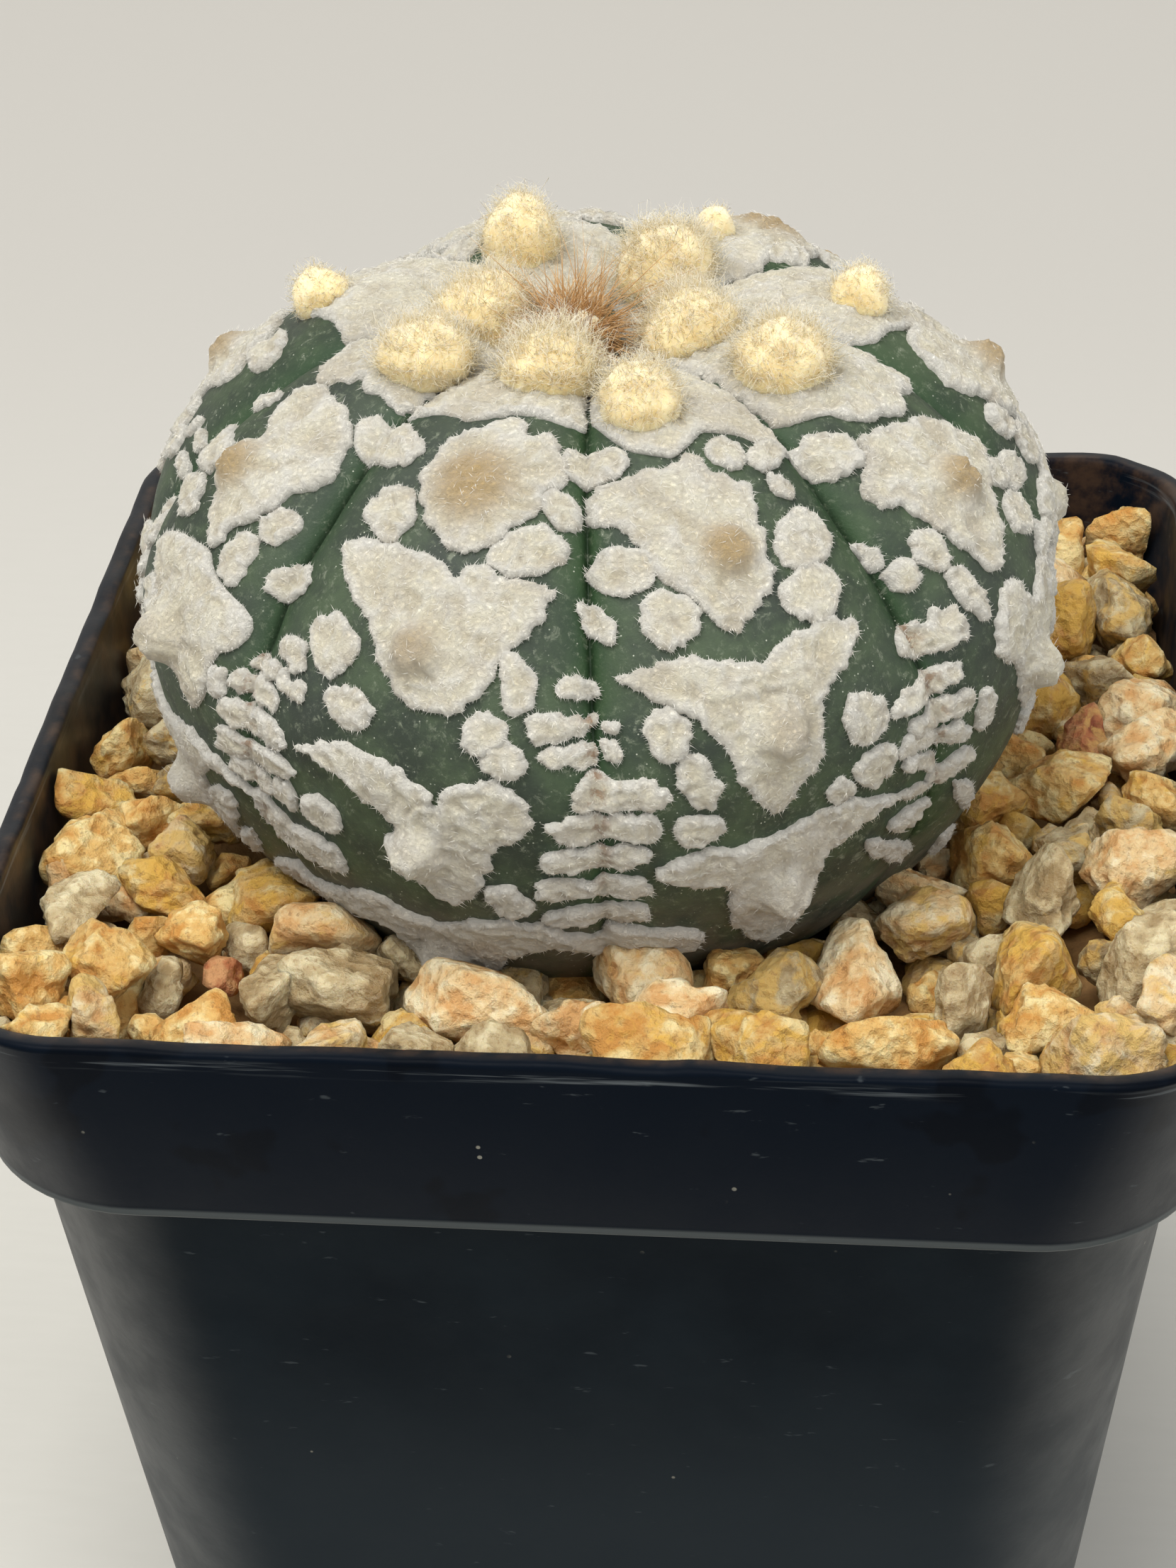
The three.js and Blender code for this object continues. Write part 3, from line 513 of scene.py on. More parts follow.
def skin_points(azimuth, distance, rise):
    """Points on the plant, raised above its skin."""
    azimuth, distance, rise = np.broadcast_arrays(*np.atleast_1d(azimuth, distance, rise))
    radius = radius_at(distance)
    height = height_at(distance)
    along_r = np.interp(distance, CURVE_LENGTHS, CURVE_SLOPES[:, 0])
    along_z = np.interp(distance, CURVE_LENGTHS, CURVE_SLOPES[:, 1])
    nearness = nearness_to_furrow(azimuth, distance)
    fade = np.minimum(1, radius / FURROW_FULL_RADIUS) ** FURROW_CROWN_POWER
    fade = fade * np.clip((height - FURROW_LOW_HEIGHT) / FURROW_LOW_FADE, FURROW_LEAST, 1)
    rib_half = radius * np.pi / len(FURROWS)
    crease = CREASE_DEPTH * np.exp(-(1 - nearness) * rib_half / CREASE_WIDTH)
    lift = rise - fade * (FURROW_DEPTH * nearness ** FURROW_SHARPNESS + crease)
    radius = np.maximum(0, radius - along_z * lift)
    height = height + along_r * lift
    lifted = np.maximum(0, height - WIDEST_HEIGHT)
    return np.stack([
        PLANT_X + LEAN[0] * lifted + radius * np.cos(azimuth),
        LEAN[1] * lifted + radius * np.sin(azimuth),
        height,
    ], axis=-1)


# Meshes as (points, triangles, {attribute: values})

def merged(parts):
    """Several meshes as one."""
    points, faces, values = [], [], {}
    count = 0
    for part_points, part_faces, part_values in parts:
        points.append(part_points)
        faces.append(np.asarray(part_faces) + count)
        count += len(part_points)
        for name, value in part_values.items():
            values.setdefault(name, []).append(np.broadcast_to(value, len(part_points)))
    return np.vstack(points), np.vstack(faces), {k: np.concatenate(v) for k, v in values.items()}


def make_piece(name, part, material, replaces):
    """A smooth-shaded piece of the object from one mesh, riding on the root."""
    points, faces, values = part
    mesh = bpy.data.meshes.new(name)
    mesh.from_pydata((points * MM).tolist(), [], np.asarray(faces).tolist())
    mesh.update()
    mesh.shade_smooth()
    for attribute, value in values.items():
        layer = mesh.attributes.new(attribute, "FLOAT", "POINT")
        layer.data.foreach_set("value", value.astype(np.float32))
    mesh.materials.append(material)
    piece = bpy.data.objects.new(name, mesh)
    bpy.context.scene.collection.objects.link(piece)
    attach(piece, "root")
    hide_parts(replaces)
    return piece


def grid_faces(rows, columns):
    """Two triangles for each cell of a grid whose columns close into a ring."""
    row, column = np.meshgrid(np.arange(rows - 1), np.arange(columns), indexing="ij")
    a = (row * columns + column).ravel()
    b = (row * columns + (column + 1) % columns).ravel()
    lower = np.stack([a, a + columns, b + columns], axis=-1)
    upper = np.stack([a, b + columns, b], axis=-1)
    return np.vstack([lower, upper])


def loft_faces(rows, columns):
    """A grid of rings, closed by fans to the two points after it: the start's, then the end's."""
    ring = np.arange(columns)
    following = np.roll(ring, -1)
    last = (rows - 1) * columns
    start = np.full(columns, rows * columns)
    return np.vstack([
        grid_faces(rows, columns),
        np.stack([start, ring, following], axis=-1),
        np.stack([start + 1, last + following, last + ring], axis=-1),
    ])


def wall_faces(border, lower):
    """The wall from a closed row of points down to its copy, whose numbers are higher by lower."""
    following = np.roll(border, -1)
    return np.vstack([
        np.stack([border + lower, following + lower, following], axis=-1),
        np.stack([border + lower, following, border], axis=-1),
    ])


def unit(vectors, least=0):
    """Rows of vectors scaled to a length of 1; a small least keeps those of no length finite."""
    return vectors / (np.linalg.norm(vectors, axis=1, keepdims=True) + least)


def side_vectors(directions, random):
    """Two vectors square to each direction and to each other, turned at random."""
    other = random.normal(size=directions.shape)
    first = unit(np.cross(directions, other), 1e-9)
    return first, np.cross(directions, first)


def hairs(stations, radii, random):
    """Three-sided hairs through rows of stations, closed at the root and pointed at the tip."""
    count = len(stations[0])
    first, second = side_vectors(unit(stations[-1] - stations[0], 1e-9), random)
    rings = []
    for station, radius in zip(stations[:-1], radii):
        for turn in range(3):
            angle = 2 * np.pi * turn / 3
            rings.append(station + radius * (np.cos(angle) * first + np.sin(angle) * second))
    per_hair = len(rings) + 1
    points = np.stack(rings + [stations[-1]], axis=1).reshape(-1, 3)
    pattern = [(0, 2, 1)]
    levels = len(stations) - 1
    for level in range(levels - 1):
        for turn in range(3):
            a = 3 * level + turn
            b = 3 * level + (turn + 1) % 3
            pattern += [(a, b, b + 3), (a, b + 3, a + 3)]
    for turn in range(3):
        pattern.append((3 * levels - 3 + turn, 3 * levels - 3 + (turn + 1) % 3, 3 * levels))
    starts = np.arange(count)[:, None, None] * per_hair
    faces = (starts + np.array(pattern)[None]).reshape(-1, 3)
    tips = np.concatenate([np.repeat(np.arange(levels) / levels, 3), [1]])
    return points, faces, {"tip": np.tile(tips, count)}


# Felt patches

def cut_corners(corners):
    """A closed outline with each corner cut off."""
    loop = np.asarray(corners, float)
    side = np.roll(loop, -1, axis=0) - loop
    near = loop + side * CORNER_CUT
    far = loop + side * (1 - CORNER_CUT)
    return np.stack([near, far], axis=1).reshape(-1, 2)


def resampled(loop, spacing):
    """A closed outline as evenly spaced points."""
    closed = np.vstack([loop, loop[:1]])
    lengths = np.concatenate([[0], np.cumsum(np.hypot(*np.diff(closed, axis=0).T))])
    count = max(8, int(lengths[-1] / spacing))
    places = np.arange(count) * lengths[-1] / count
    return np.stack([np.interp(places, lengths, closed[:, i]) for i in (0, 1)], axis=-1)


def anticlockwise(loop):
    x, y = loop.T
    area = np.sum(x * np.roll(y, -1) - np.roll(x, -1) * y)
    return loop if area > 0 else loop[::-1]


def outward(loop):
    """Unit vectors that point out of an anticlockwise outline."""
    along = unit(np.roll(loop, -1, axis=0) - np.roll(loop, 1, axis=0), 1e-9)
    return np.stack([along[:, 1], -along[:, 0]], axis=-1)


def depth_inside(points, loop):
    """Distance of points from an outline, negative outside it."""
    start = loop[None]
    side = np.roll(loop, -1, axis=0)[None] - start
    offset = points[:, None] - start
    share = np.clip((offset * side).sum(-1) / (side * side).sum(-1), 0, 1)
    nearest = np.sqrt(((offset - share[..., None] * side) ** 2).sum(-1).min(axis=1))
    y0 = loop[None, :, 1]
    y1 = np.roll(loop[:, 1], -1)[None]
    crosses = (y0 > points[:, 1:2]) != (y1 > points[:, 1:2])
    with np.errstate(divide="ignore", invalid="ignore"):
        meet = start[..., 0] + (points[:, 1:2] - y0) / (y1 - y0) * side[..., 0]
    inside = (crosses & (points[:, 0:1] < meet)).sum(axis=1) % 2 == 1
    return np.where(inside, nearest, -nearest)


def fill(loop, spacing, margin, random):
    """Triangles that fill an outline, and their points: the outline's own come first."""
    low, high = loop.min(axis=0), loop.max(axis=0)
    rows = np.arange(low[1], high[1], spacing * 0.87)
    row_points = []
    for index, y in enumerate(rows):
        x = np.arange(low[0] + spacing * (index % 2) / 2, high[0], spacing)
        row_points.append(np.stack([x, np.full(len(x), y)], axis=-1))
    inner = np.vstack(row_points) if row_points else np.zeros((0, 2))
    inner = inner + random.uniform(-0.15, 0.15, inner.shape) * spacing
    inner = inner[depth_inside(inner, loop) > margin]
    points = np.vstack([loop, inner])
    ring = list(range(len(loop)))
    edges = list(zip(ring, ring[1:] + ring[:1]))
    made = delaunay_2d_cdt([Vector(p) for p in points], edges, [ring], 1, 1e-7)
    if len(made[0]) != len(points):
        return None
    return points, np.array([face for face in made[2]])


def radial_pleats(plane, centre, shift):
    """Waves from -1 to 1 that run outward from a centre."""
    reach = plane - centre
    angle = np.arctan2(reach[:, 1], reach[:, 0])
    around = np.column_stack([np.cos(angle), np.sin(angle)]) * PLEAT_TURN
    length = np.hypot(*reach.T) * PLEAT_LENGTH
    return lattice_noise(np.column_stack([around, length]) + shift, 21)


def noise_place(plane, shift):
    """Points of a plane as places in the noise."""
    return np.column_stack([plane, np.zeros(len(plane))]) + shift


def ragged_felt(outline, spacing, ragged, shift, random):
    """A ragged loop along an outline, and its face and its root as points and triangles.

    A loop that crosses itself can't be filled, so a smoother one takes its place.
    """
    smooth = anticlockwise(resampled(cut_corners(outline), FELT_EDGE_SPACING))
    at = noise_place(smooth, shift)
    waves = sum(size * lattice_noise(at / length, 30) for length, size in RAGGED)
    for raggedness in (ragged, 0.5 * ragged, 0):
        loop = smooth + outward(smooth) * (raggedness * waves)[:, None]
        face = fill(loop, spacing, spacing * 0.5, random)
        root = fill(loop, FELT_ROOT_SPACING, FELT_ROOT_SPACING * 0.4, random)
        if face is not None and root is not None:
            break
    return loop, face, root


def felt_relief(plane, depth, shift, centre, dome, seam):
    """Heights of a pad's face above the skin, and the marks that its material shows, some of them
    masks for painted shade.
    """
    at = noise_place(plane, shift)
    warp = np.column_stack([lattice_noise(at / FOLD_WARP_SIZE, seed) for seed in (11, 12, 13)])
    warp *= FOLD_WARP
    folds = np.abs(lattice_noise(at / FOLD_SIZE + warp, 3))
    valley = np.clip(1 - folds / VALLEY_WIDTH, 0, 1) ** 1.5
    pleats = radial_pleats(plane, centre, shift)
    crumple = 1 - 3 * np.abs(lattice_noise(at / CRUMPLE_SIZE + warp, 15))
    roundness = np.clip(depth / FELT_ROUND, 0, 1)
    body = np.sqrt(np.maximum(0, 1 - (1 - roundness) ** 2))
    rise = FELT_EDGE_RISE + (FELT_RISE - FELT_EDGE_RISE) * body
    rise += body * (CRUMPLE_DEPTH * crumple + SWELL_DEPTH * lattice_noise(at / SWELL_SIZE, 7))
    rise += PLEAT_DEPTH * pleats * (0.3 + 0.7 * body)
    rise -= body * FOLD_DEPTH * valley * np.clip(depth / 0.3, 0, 1)
    # Masks for painted shade: the fold valleys, the troughs of the pleats and the low crumples are
    # painted darker
    crease = np.maximum(valley * np.clip(depth / 0.6, 0, 1), np.clip(-1.6 * pleats - 0.2, 0, 1))
    hollow_shade = np.clip(0.6 - crumple, 0, 1) * np.clip(depth / 0.5, 0, 1)
    scar = np.zeros(len(plane))
    if seam:
        line = np.exp(-(plane[:, 0] / SEAM_WIDTH) ** 2)
        scar = np.exp(-(plane[:, 0] / SCAR_WIDTH) ** 2)
        rise -= SEAM_DEPTH * line
        # The seam line joins the crease mask: a real brown seam, and painted shade in its groove
        crease = np.maximum(crease, line)
    areole = np.zeros(len(plane))
    if dome:
        radius, height = dome
        areole = np.exp(-(np.hypot(*plane.T) / radius) ** DOME_ROUNDNESS)
        rise += height * areole * (1 + DOME_LUMPS * lattice_noise(at / DOME_LUMP_SIZE, 9))
    marks = {"depth": depth, "crease": crease, "hollow_shade": hollow_shade, "areole": areole, "scar": scar}
    return np.maximum(rise, FELT_LEAST), marks


def felt_pad(outline, to_surface, random, spacing, centre=(0, 0), dome=None, seam=False, ragged=1):
    """A ragged felt pad over an outline, and the hairs round it.

    to_surface turns points in the outline's plane and their rises into points in space.
    The face is pleated outward from the centre, dome is [radius, height] of the areole's
    swelling at the outline's origin, and a seam runs down the origin of a bar.
    """
    shift = random.uniform(0, 100, 3)
    loop, (plane, faces), (under, under_faces) = ragged_felt(outline, spacing, ragged, shift, random)
    count = len(loop)
    depth = np.maximum(0, depth_inside(plane, loop))
    depth[:count] = 0
    rise, marks = felt_relief(plane, depth, shift, centre, dome, seam)
    lower = len(plane)
    points = np.vstack([to_surface(plane, rise), to_surface(under, -FELT_ROOT)])
    closed = np.vstack([faces, under_faces[:, ::-1] + lower, wall_faces(np.arange(count), lower)])
    values = {name: np.concatenate([mark, np.zeros(len(under))]) for name, mark in marks.items()}
    return (points, closed, values), felt_hairs(loop, plane, faces, rise, to_surface, random)


def felt_hairs(loop, plane, faces, rise, to_surface, random):
    """Short hairs that stick out at a pad's edge and lie on its face."""
    dense = resampled(loop, EDGE_HAIR_PITCH)
    out = outward(dense)
    turn = random.uniform(-EDGE_HAIR_TURN, EDGE_HAIR_TURN, len(dense))
    lean = np.stack([
        out[:, 0] * np.cos(turn) - out[:, 1] * np.sin(turn),
        out[:, 0] * np.sin(turn) + out[:, 1] * np.cos(turn),
    ], axis=-1)
    length = random.uniform(*EDGE_HAIR_LENGTH, len(dense))[:, None]
    height = random.uniform(0.02, FELT_RISE * 0.75, len(dense))
    climb = random.uniform(*EDGE_HAIR_CLIMB, len(dense)) * length[:, 0]
    edge_roots = to_surface(dense - out * 0.1, height)
    edge_tips = to_surface(dense + lean * length, np.maximum(height + climb, 0.03))
    corners = plane[faces]
    a, b, c = corners[:, 0], corners[:, 1], corners[:, 2]
    areas = np.abs((b - a)[:, 0] * (c - a)[:, 1] - (b - a)[:, 1] * (c - a)[:, 0]) / 2
    amount = int(areas.sum() * FACE_HAIRS)
    chosen = random.choice(len(faces), amount, p=areas / areas.sum())
    roots = a[chosen]
    root_rise = rise[faces[chosen, 0]]
    angle = random.uniform(0, 2 * np.pi, amount)
    length = random.uniform(*FACE_HAIR_LENGTH, amount)
    reach = np.stack([np.cos(angle), np.sin(angle)], axis=-1) * length[:, None]
    face_roots = to_surface(roots, root_rise - 0.03)
    face_tips = to_surface(roots + reach, root_rise + FACE_HAIR_CLIMB * length)
    stations = [np.vstack([edge_roots, face_roots]), np.vstack([edge_tips, face_tips])]
    return hairs(stations, [FELT_HAIR_RADIUS], random)


def on_rib(rib, distance, mirror=1, across=0):
    """Maps millimetres across a rib and up from a place on it onto the plant."""
    def to_surface(plane, rise):
        level = np.maximum(distance - plane[:, 1], 0.5)
        crest, _ = rib_span(rib, level)
        azimuth = crest + mirror * (across + plane[:, 0]) / radius_at(level)
        return skin_points(azimuth, level, rise)
    return to_surface


def on_furrow(furrow, distance, mirror):
    """Maps millimetres across a furrow and up from a place on it onto the plant."""
    def to_surface(plane, rise):
        level = distance - plane[:, 1]
        azimuth = furrow_azimuth(furrow, level) + mirror * plane[:, 0] / radius_at(level)
        return skin_points(azimuth, level, rise)
    return to_surface


def collar_outline(rib, edge):
    """The crown's felt on one rib, from near the centre down to a lower edge, as on_rib takes it."""
    shares = np.linspace(-1, 1, 4 * len(edge))
    levels = np.interp(shares, np.linspace(-1, 1, len(edge)), edge)
    at = np.column_stack([shares * 4, shares * 0, shares * 0])
    levels += COLLAR_SCALLOPS * lattice_noise(at, rib)
    corners = [(share, level) for share, level in zip(shares, levels)]
    for level in (10, 6, COLLAR_START):
        corners.append((1, level))
        corners.insert(0, (-1, level))
    outline = []
    for share, level in corners:
        _, half = rib_span(rib, level)
        radius = radius_at(level)
        across = share * half * radius - np.sign(share) * COLLAR_CRACK * min(1, abs(share) * 2)
        outline.append((across, -level))
    return outline


def tilted(outline, tilt):
    """An outline turned by degrees, rising to the right."""
    cos, sin = math.cos(math.radians(tilt)), math.sin(math.radians(tilt))
    return np.asarray(outline) @ np.array([(cos, sin), (-sin, cos)])


def dot_outline(width, height, tilt, random):
    corners = []
    for corner in range(DOT_CORNERS):
        angle = 2 * math.pi * (corner + random.uniform(-0.25, 0.25)) / DOT_CORNERS
        swell = DOT_HALF * random.uniform(0.9, 1.1)
        corners.append((width * swell * math.cos(angle), height * swell * math.sin(angle)))
    return tilted(corners, tilt)


def areole_dome(distance):
    if distance < FLAT_DOME_LIMIT:
        return FLAT_DOME
    if distance < WIDE_DOME_LIMIT:
        return WIDE_DOME
    return KNOB


def make_felt(random):
    """The large felt pads, the loose dots and bars, and the hairs of each."""
    pads, dots = [], []
    for rib, (pattern, mirror, shift, edge) in enumerate(RIBS):
        outline = collar_outline(rib, edge)
        pads.append(felt_pad(outline, on_rib(rib, 0), random, FELT_SPACING, COLLAR_CENTRE))
        for outline, across, distance in pattern["patches"]:
            level = distance + shift
            if level < LOWEST_FELT:
                place = on_rib(rib, level, mirror, across)
                pads.append(felt_pad(outline, place, random, FELT_SPACING, dome=areole_dome(level)))
        for across, distance, width, height, tilt in pattern["dots"]:
            outline = dot_outline(width, height, tilt, random)
            place = on_rib(rib, distance + shift, mirror, across)
            dots.append(felt_pad(outline, place, random, DOT_SPACING, ragged=DOT_RAGGEDNESS))
        bars, turned = FURROW_BARS[rib]
        for offset, distance, width, height, tilt in bars:
            wobble = random.uniform(*BAR_WOBBLE, (len(BAR_OUTLINE), 1))
            outline = tilted(BAR_OUTLINE * wobble * (width / 2, height / 2), tilt) + (offset, 0)
            place = on_furrow(rib, distance, turned)
            dots.append(felt_pad(outline, place, random, DOT_SPACING, (offset, 0), seam=True))
    return [merged([made[i] for made in group]) for i in (0, 1) for group in (pads, dots)]


# Wool and bud

def ball(subdivisions):
    """Points and triangles of a unit ball."""
    shape = bmesh.new()
    bmesh.ops.create_icosphere(shape, subdivisions=subdivisions, radius=1)
    points = np.array([v.co for v in shape.verts])
    faces = np.array([[v.index for v in f.verts] for f in shape.faces])
    shape.free()
    return unit(points), faces


def surface_frame(azimuth, distance):
    """A place on the skin and the axes there: sideways, towards the crown, and outward."""
    place, side, up, out = skin_points(
        np.array([azimuth, azimuth + 1e-3, azimuth, azimuth]),
        np.array([distance, distance, max(distance - 0.1, 0.1), distance]),
        np.array([0, 0, 0, 1.0]),
    )
    out = (out - place) / np.linalg.norm(out - place)
    side = side - place
    side -= out * side.dot(out)
    side /= np.linalg.norm(side)
    return place, np.stack([side, np.cross(out, side), out])


def wool_surface(directions, radius, height, shift, lean):
    """Places on a tuft's lumpy core, wider at its foot, with a low peak that leans."""
    swell = WOOL_CORE * (1 + WOOL_LUMPS * fractal_noise(directions * 1.3 + shift))
    local = directions * swell[:, None] * (radius, radius, height * (1 - WOOL_LIFT))
    flat = np.maximum(np.hypot(*directions[:, :2].T), 0.01)[:, None]
    squared = np.where(directions[:, 2:] < 0, flat ** -WOOL_SQUARE, 1)
    local[:, :2] *= (1 - WOOL_FLARE * directions[:, 2:]) * squared
    peak = np.maximum(directions[:, 2:], 0) ** 5
    local[:, :2] += lean * peak * radius * WOOL_PEAK
    local[:, 2:] += height * (WOOL_LIFT + WOOL_PEAK * peak)
    return local


def wool_directions(amount, random):
    """Directions in which hairs leave a tuft: most of them upward, a share low as a skirt."""
    directions = unit(random.normal(size=(amount, 3)))
    directions[:, 2] = np.where(directions[:, 2] < -0.4, -directions[:, 2], directions[:, 2])
    skirt = random.uniform(size=amount) < SKIRT_SHARE
    directions[skirt, 2] = random.uniform(*SKIRT_CLIMB, skirt.sum())
    return unit(directions)


def wool_tuft(azimuth, distance, radius, height, comb, random):
    """A fluffy mound of wool: a soft core, and fine hairs that curl out of it in locks."""
    place, axes = surface_frame(math.radians(azimuth), distance)
    core, faces = BALLS[4]
    shift = random.uniform(0, 100, 3)
    lean = random.uniform(-0.5, 0.5, 2)
    local = wool_surface(core, radius, height, shift, lean)
    # The core's tip value grows towards the top of the tuft, where its material paints light
    body = place + local @ axes, faces, {"tip": np.clip(0.3 * local[:, 2] / height, 0, 1)}
    amount = int(WOOL_HAIRS * radius * radius)
    directions = wool_directions(amount, random)
    length = random.uniform(*WOOL_HAIR_LENGTH, (amount, 1)) * (radius / WOOL_USUAL_RADIUS)
    length *= 1 + WOOL_COMB_LENGTH * comb
    locks = np.column_stack([lattice_noise(directions * 3 + shift, seed) for seed in (41, 42, 43)])
    tangle = random.normal(size=(amount, 3))
    swirl = np.cross(directions, WOOL_LOCKS * locks + WOOL_TANGLE * tangle)
    roots = wool_surface(directions, radius, height, shift, lean) - directions * 0.1
    reach = directions * random.uniform(0.3, 1, (amount, 1)) + swirl * 0.8 + (0, 0, 0.2 + 0.5 * comb)
    bend = WOOL_BEND * random.normal(size=(amount, 3))
    middle = roots + (0.5 * reach + bend) * length
    stations = [place + station @ axes for station in (roots, middle, roots + reach * length)]
    return body, hairs(stations, [WOOL_HAIR_RADIUS, 0.8 * WOOL_HAIR_RADIUS], random)


def make_bud(random):
    """A woolly cone with a brush of thin curly hairs."""
    place = skin_points(0, 0.0, 0.6)[0] + BUD_SHIFT
    core, faces = ball(4)
    swell = 1 + BUD_LUMPS * fractal_noise(core * 2 + 31)
    local = core * swell[:, None] * BUD_SIZE
    local[:, 2] = np.maximum(local[:, 2], BUD_FOOT)
    cone = place + local, faces, {"tip": np.full(len(local), 0.3)}
    share = (np.arange(BUD_HAIRS) + 0.5) / BUD_HAIRS
    tilt = np.arccos(1 - BUD_OPENING * share)
    turn = np.arange(BUD_HAIRS) * BUD_TURN
    directions = np.stack([
        np.sin(tilt) * np.cos(turn), np.sin(tilt) * np.sin(turn), np.cos(tilt),
    ], axis=-1)
    directions = unit(directions + (random.normal(size=directions.shape) * BUD_SPREAD + BUD_LEAN))
    length = random.uniform(*BUD_HAIR_LENGTH, (BUD_HAIRS, 1))
    roots = directions * BUD_SIZE * 0.7
    curl = random.normal(size=directions.shape)
    stations = [roots]
    for step in (1, 2, 3, 4):
        part = step / 4
        sag = np.array([0, 0, -BUD_SAG]) * part ** 2
        stations.append(roots + (directions * part + BUD_CURL * curl * part ** 2 + sag) * length)
    radii = [BUD_HAIR_RADIUS * share for share in (1, 0.95, 0.8, 0.6)]
    brush = hairs([place + station for station in stations], radii, random)
    return cone, brush


# Skin

def make_skin():
    """The plant's green body and its root, finer towards the furrows."""
    rows = np.concatenate([
        np.linspace(0.3, SKIN_END, SKIN_ROWS),
        np.linspace(SKIN_END, MERIDIAN_LENGTH - 0.3, ROOT_ROWS + 1)[1:],
    ])
    shares = np.sin(np.linspace(-1, 1, SKIN_COLUMNS, endpoint=False) * math.pi / 2)
    azimuths = []
    for rib in range(len(RIBS)):
        crest, half = rib_span(rib, rows)
        azimuths.append(crest[:, None] + half[:, None] * shares)
    azimuth = np.hstack(azimuths)
    distance = np.broadcast_to(rows[:, None], azimuth.shape)
    flat = azimuth.ravel(), distance.ravel()
    bare = skin_points(*flat, 0)
    rise = SKIN_RELIEF * fractal_noise(bare / SKIN_RELIEF_SIZE, 2, 40)
    points = skin_points(*flat, rise)
    points = np.vstack([points, skin_points(0, 0.0, 0), skin_points(0, MERIDIAN_LENGTH, 0)])
    nearness = nearness_to_furrow(*flat)
    gap = (1 - nearness) * radius_at(flat[1]) * math.pi / len(RIBS)
    # The furrow mask, 1 down in a furrow, which the skin's material uses for painted shade there
    values = {"furrow": np.concatenate([np.exp(-gap / FURROW_SHADE), [0, 0]])}
    return points, loft_faces(*azimuth.shape), values


# Stones

def gravel_height(x, y):
    """Level of the gravel, heaped up a little towards the walls on the left and right."""
    heap = HEAP_HEIGHT * np.clip((np.abs(x) - HEAP_START) / HEAP_WIDTH, 0, 1)
    return GRAVEL_LEVEL - GRAVEL_FALL_BACK * y + GRAVEL_RISE_RIGHT * x + heap


def stone_draws():
    """Places and random draws of the frame's stones, in its order."""
    random = mulberry(STONE_SEED)
    placed = []
    for _ in range(STONE_TRIES):
        if len(placed) == STONE_MOST:
            break
        x = (2 * next(random) - 1) * STONE_REACH
        y = (2 * next(random) - 1) * STONE_REACH
        size = STONE_SIZE[0] + (STONE_SIZE[1] - STONE_SIZE[0]) * next(random)
        near_plant = math.hypot(x - PLANT_X, y) < STONE_PLANT_RADIUS
        crowded = any(
            math.hypot(x - s["x"], y - s["y"]) < STONE_SPACING * (size + s["size"]) / 2
            for s in placed
        )
        if not near_plant and not crowded:
            draws = [next(random) for _ in range(16)]
            placed.append({"x": x, "y": y, "size": size, "draws": draws})
    return placed


def stone_shape(size, flatness, turns, subdivisions, random):
    """A lumpy weathered stone: a ball cut by random planes, with rough faces, and its relief."""
    core, faces = BALLS[subdivisions]
    normals = unit(random.normal(size=(STONE_CORNERS, 3)))
    offsets = random.uniform(*STONE_CUTS, STONE_CORNERS)
    reach = np.maximum(core @ normals.T, 0) / offsets
    radius = (np.sum(reach ** STONE_EDGE, axis=1) + 1e-4) ** (-1 / STONE_EDGE)
    shift = random.uniform(0, 100, 3)
    at = core * size / 2 + shift
    relief = sum(high * lattice_noise(at / long, 50) for long, high in STONE_LUMPS)
    local = core * (radius * size / 2 + relief)[:, None] * np.array([1, *flatness])
    turn = Matrix.Rotation(turns[1], 3, "Z") @ Matrix.Rotation(turns[0], 3, "X")
    return local @ np.array(turn).T, faces, relief


def inner_half(height):
    """Half the clear width between the pot's walls at a height."""
    share = (height - BAND_BOTTOM) / (POT_HEIGHT - BAND_BOTTOM)
    widening = (RIM_HALF - RIM_LIP - BAND_HALF + WALL) * np.clip(share, 0, 1)
    return BAND_HALF - WALL + widening - WALL_CLEARANCE


def inside_pot(points):
    """Points moved in where they would stick into the pot's walls."""
    half = inner_half(points[:, 2])
    flat = np.clip(points[:, :2], -half[:, None], half[:, None])
    corner = half - RIM_CORNER
    past = np.maximum(np.abs(flat) - corner[:, None], 0)
    reach = np.linalg.norm(past, axis=1)
    keep = np.where(reach > RIM_CORNER, RIM_CORNER / np.maximum(reach, 1e-9), 1)
    flat = np.sign(flat) * (np.minimum(np.abs(flat), corner[:, None]) + past * keep[:, None])
    return np.column_stack([flat, points[:, 2]])


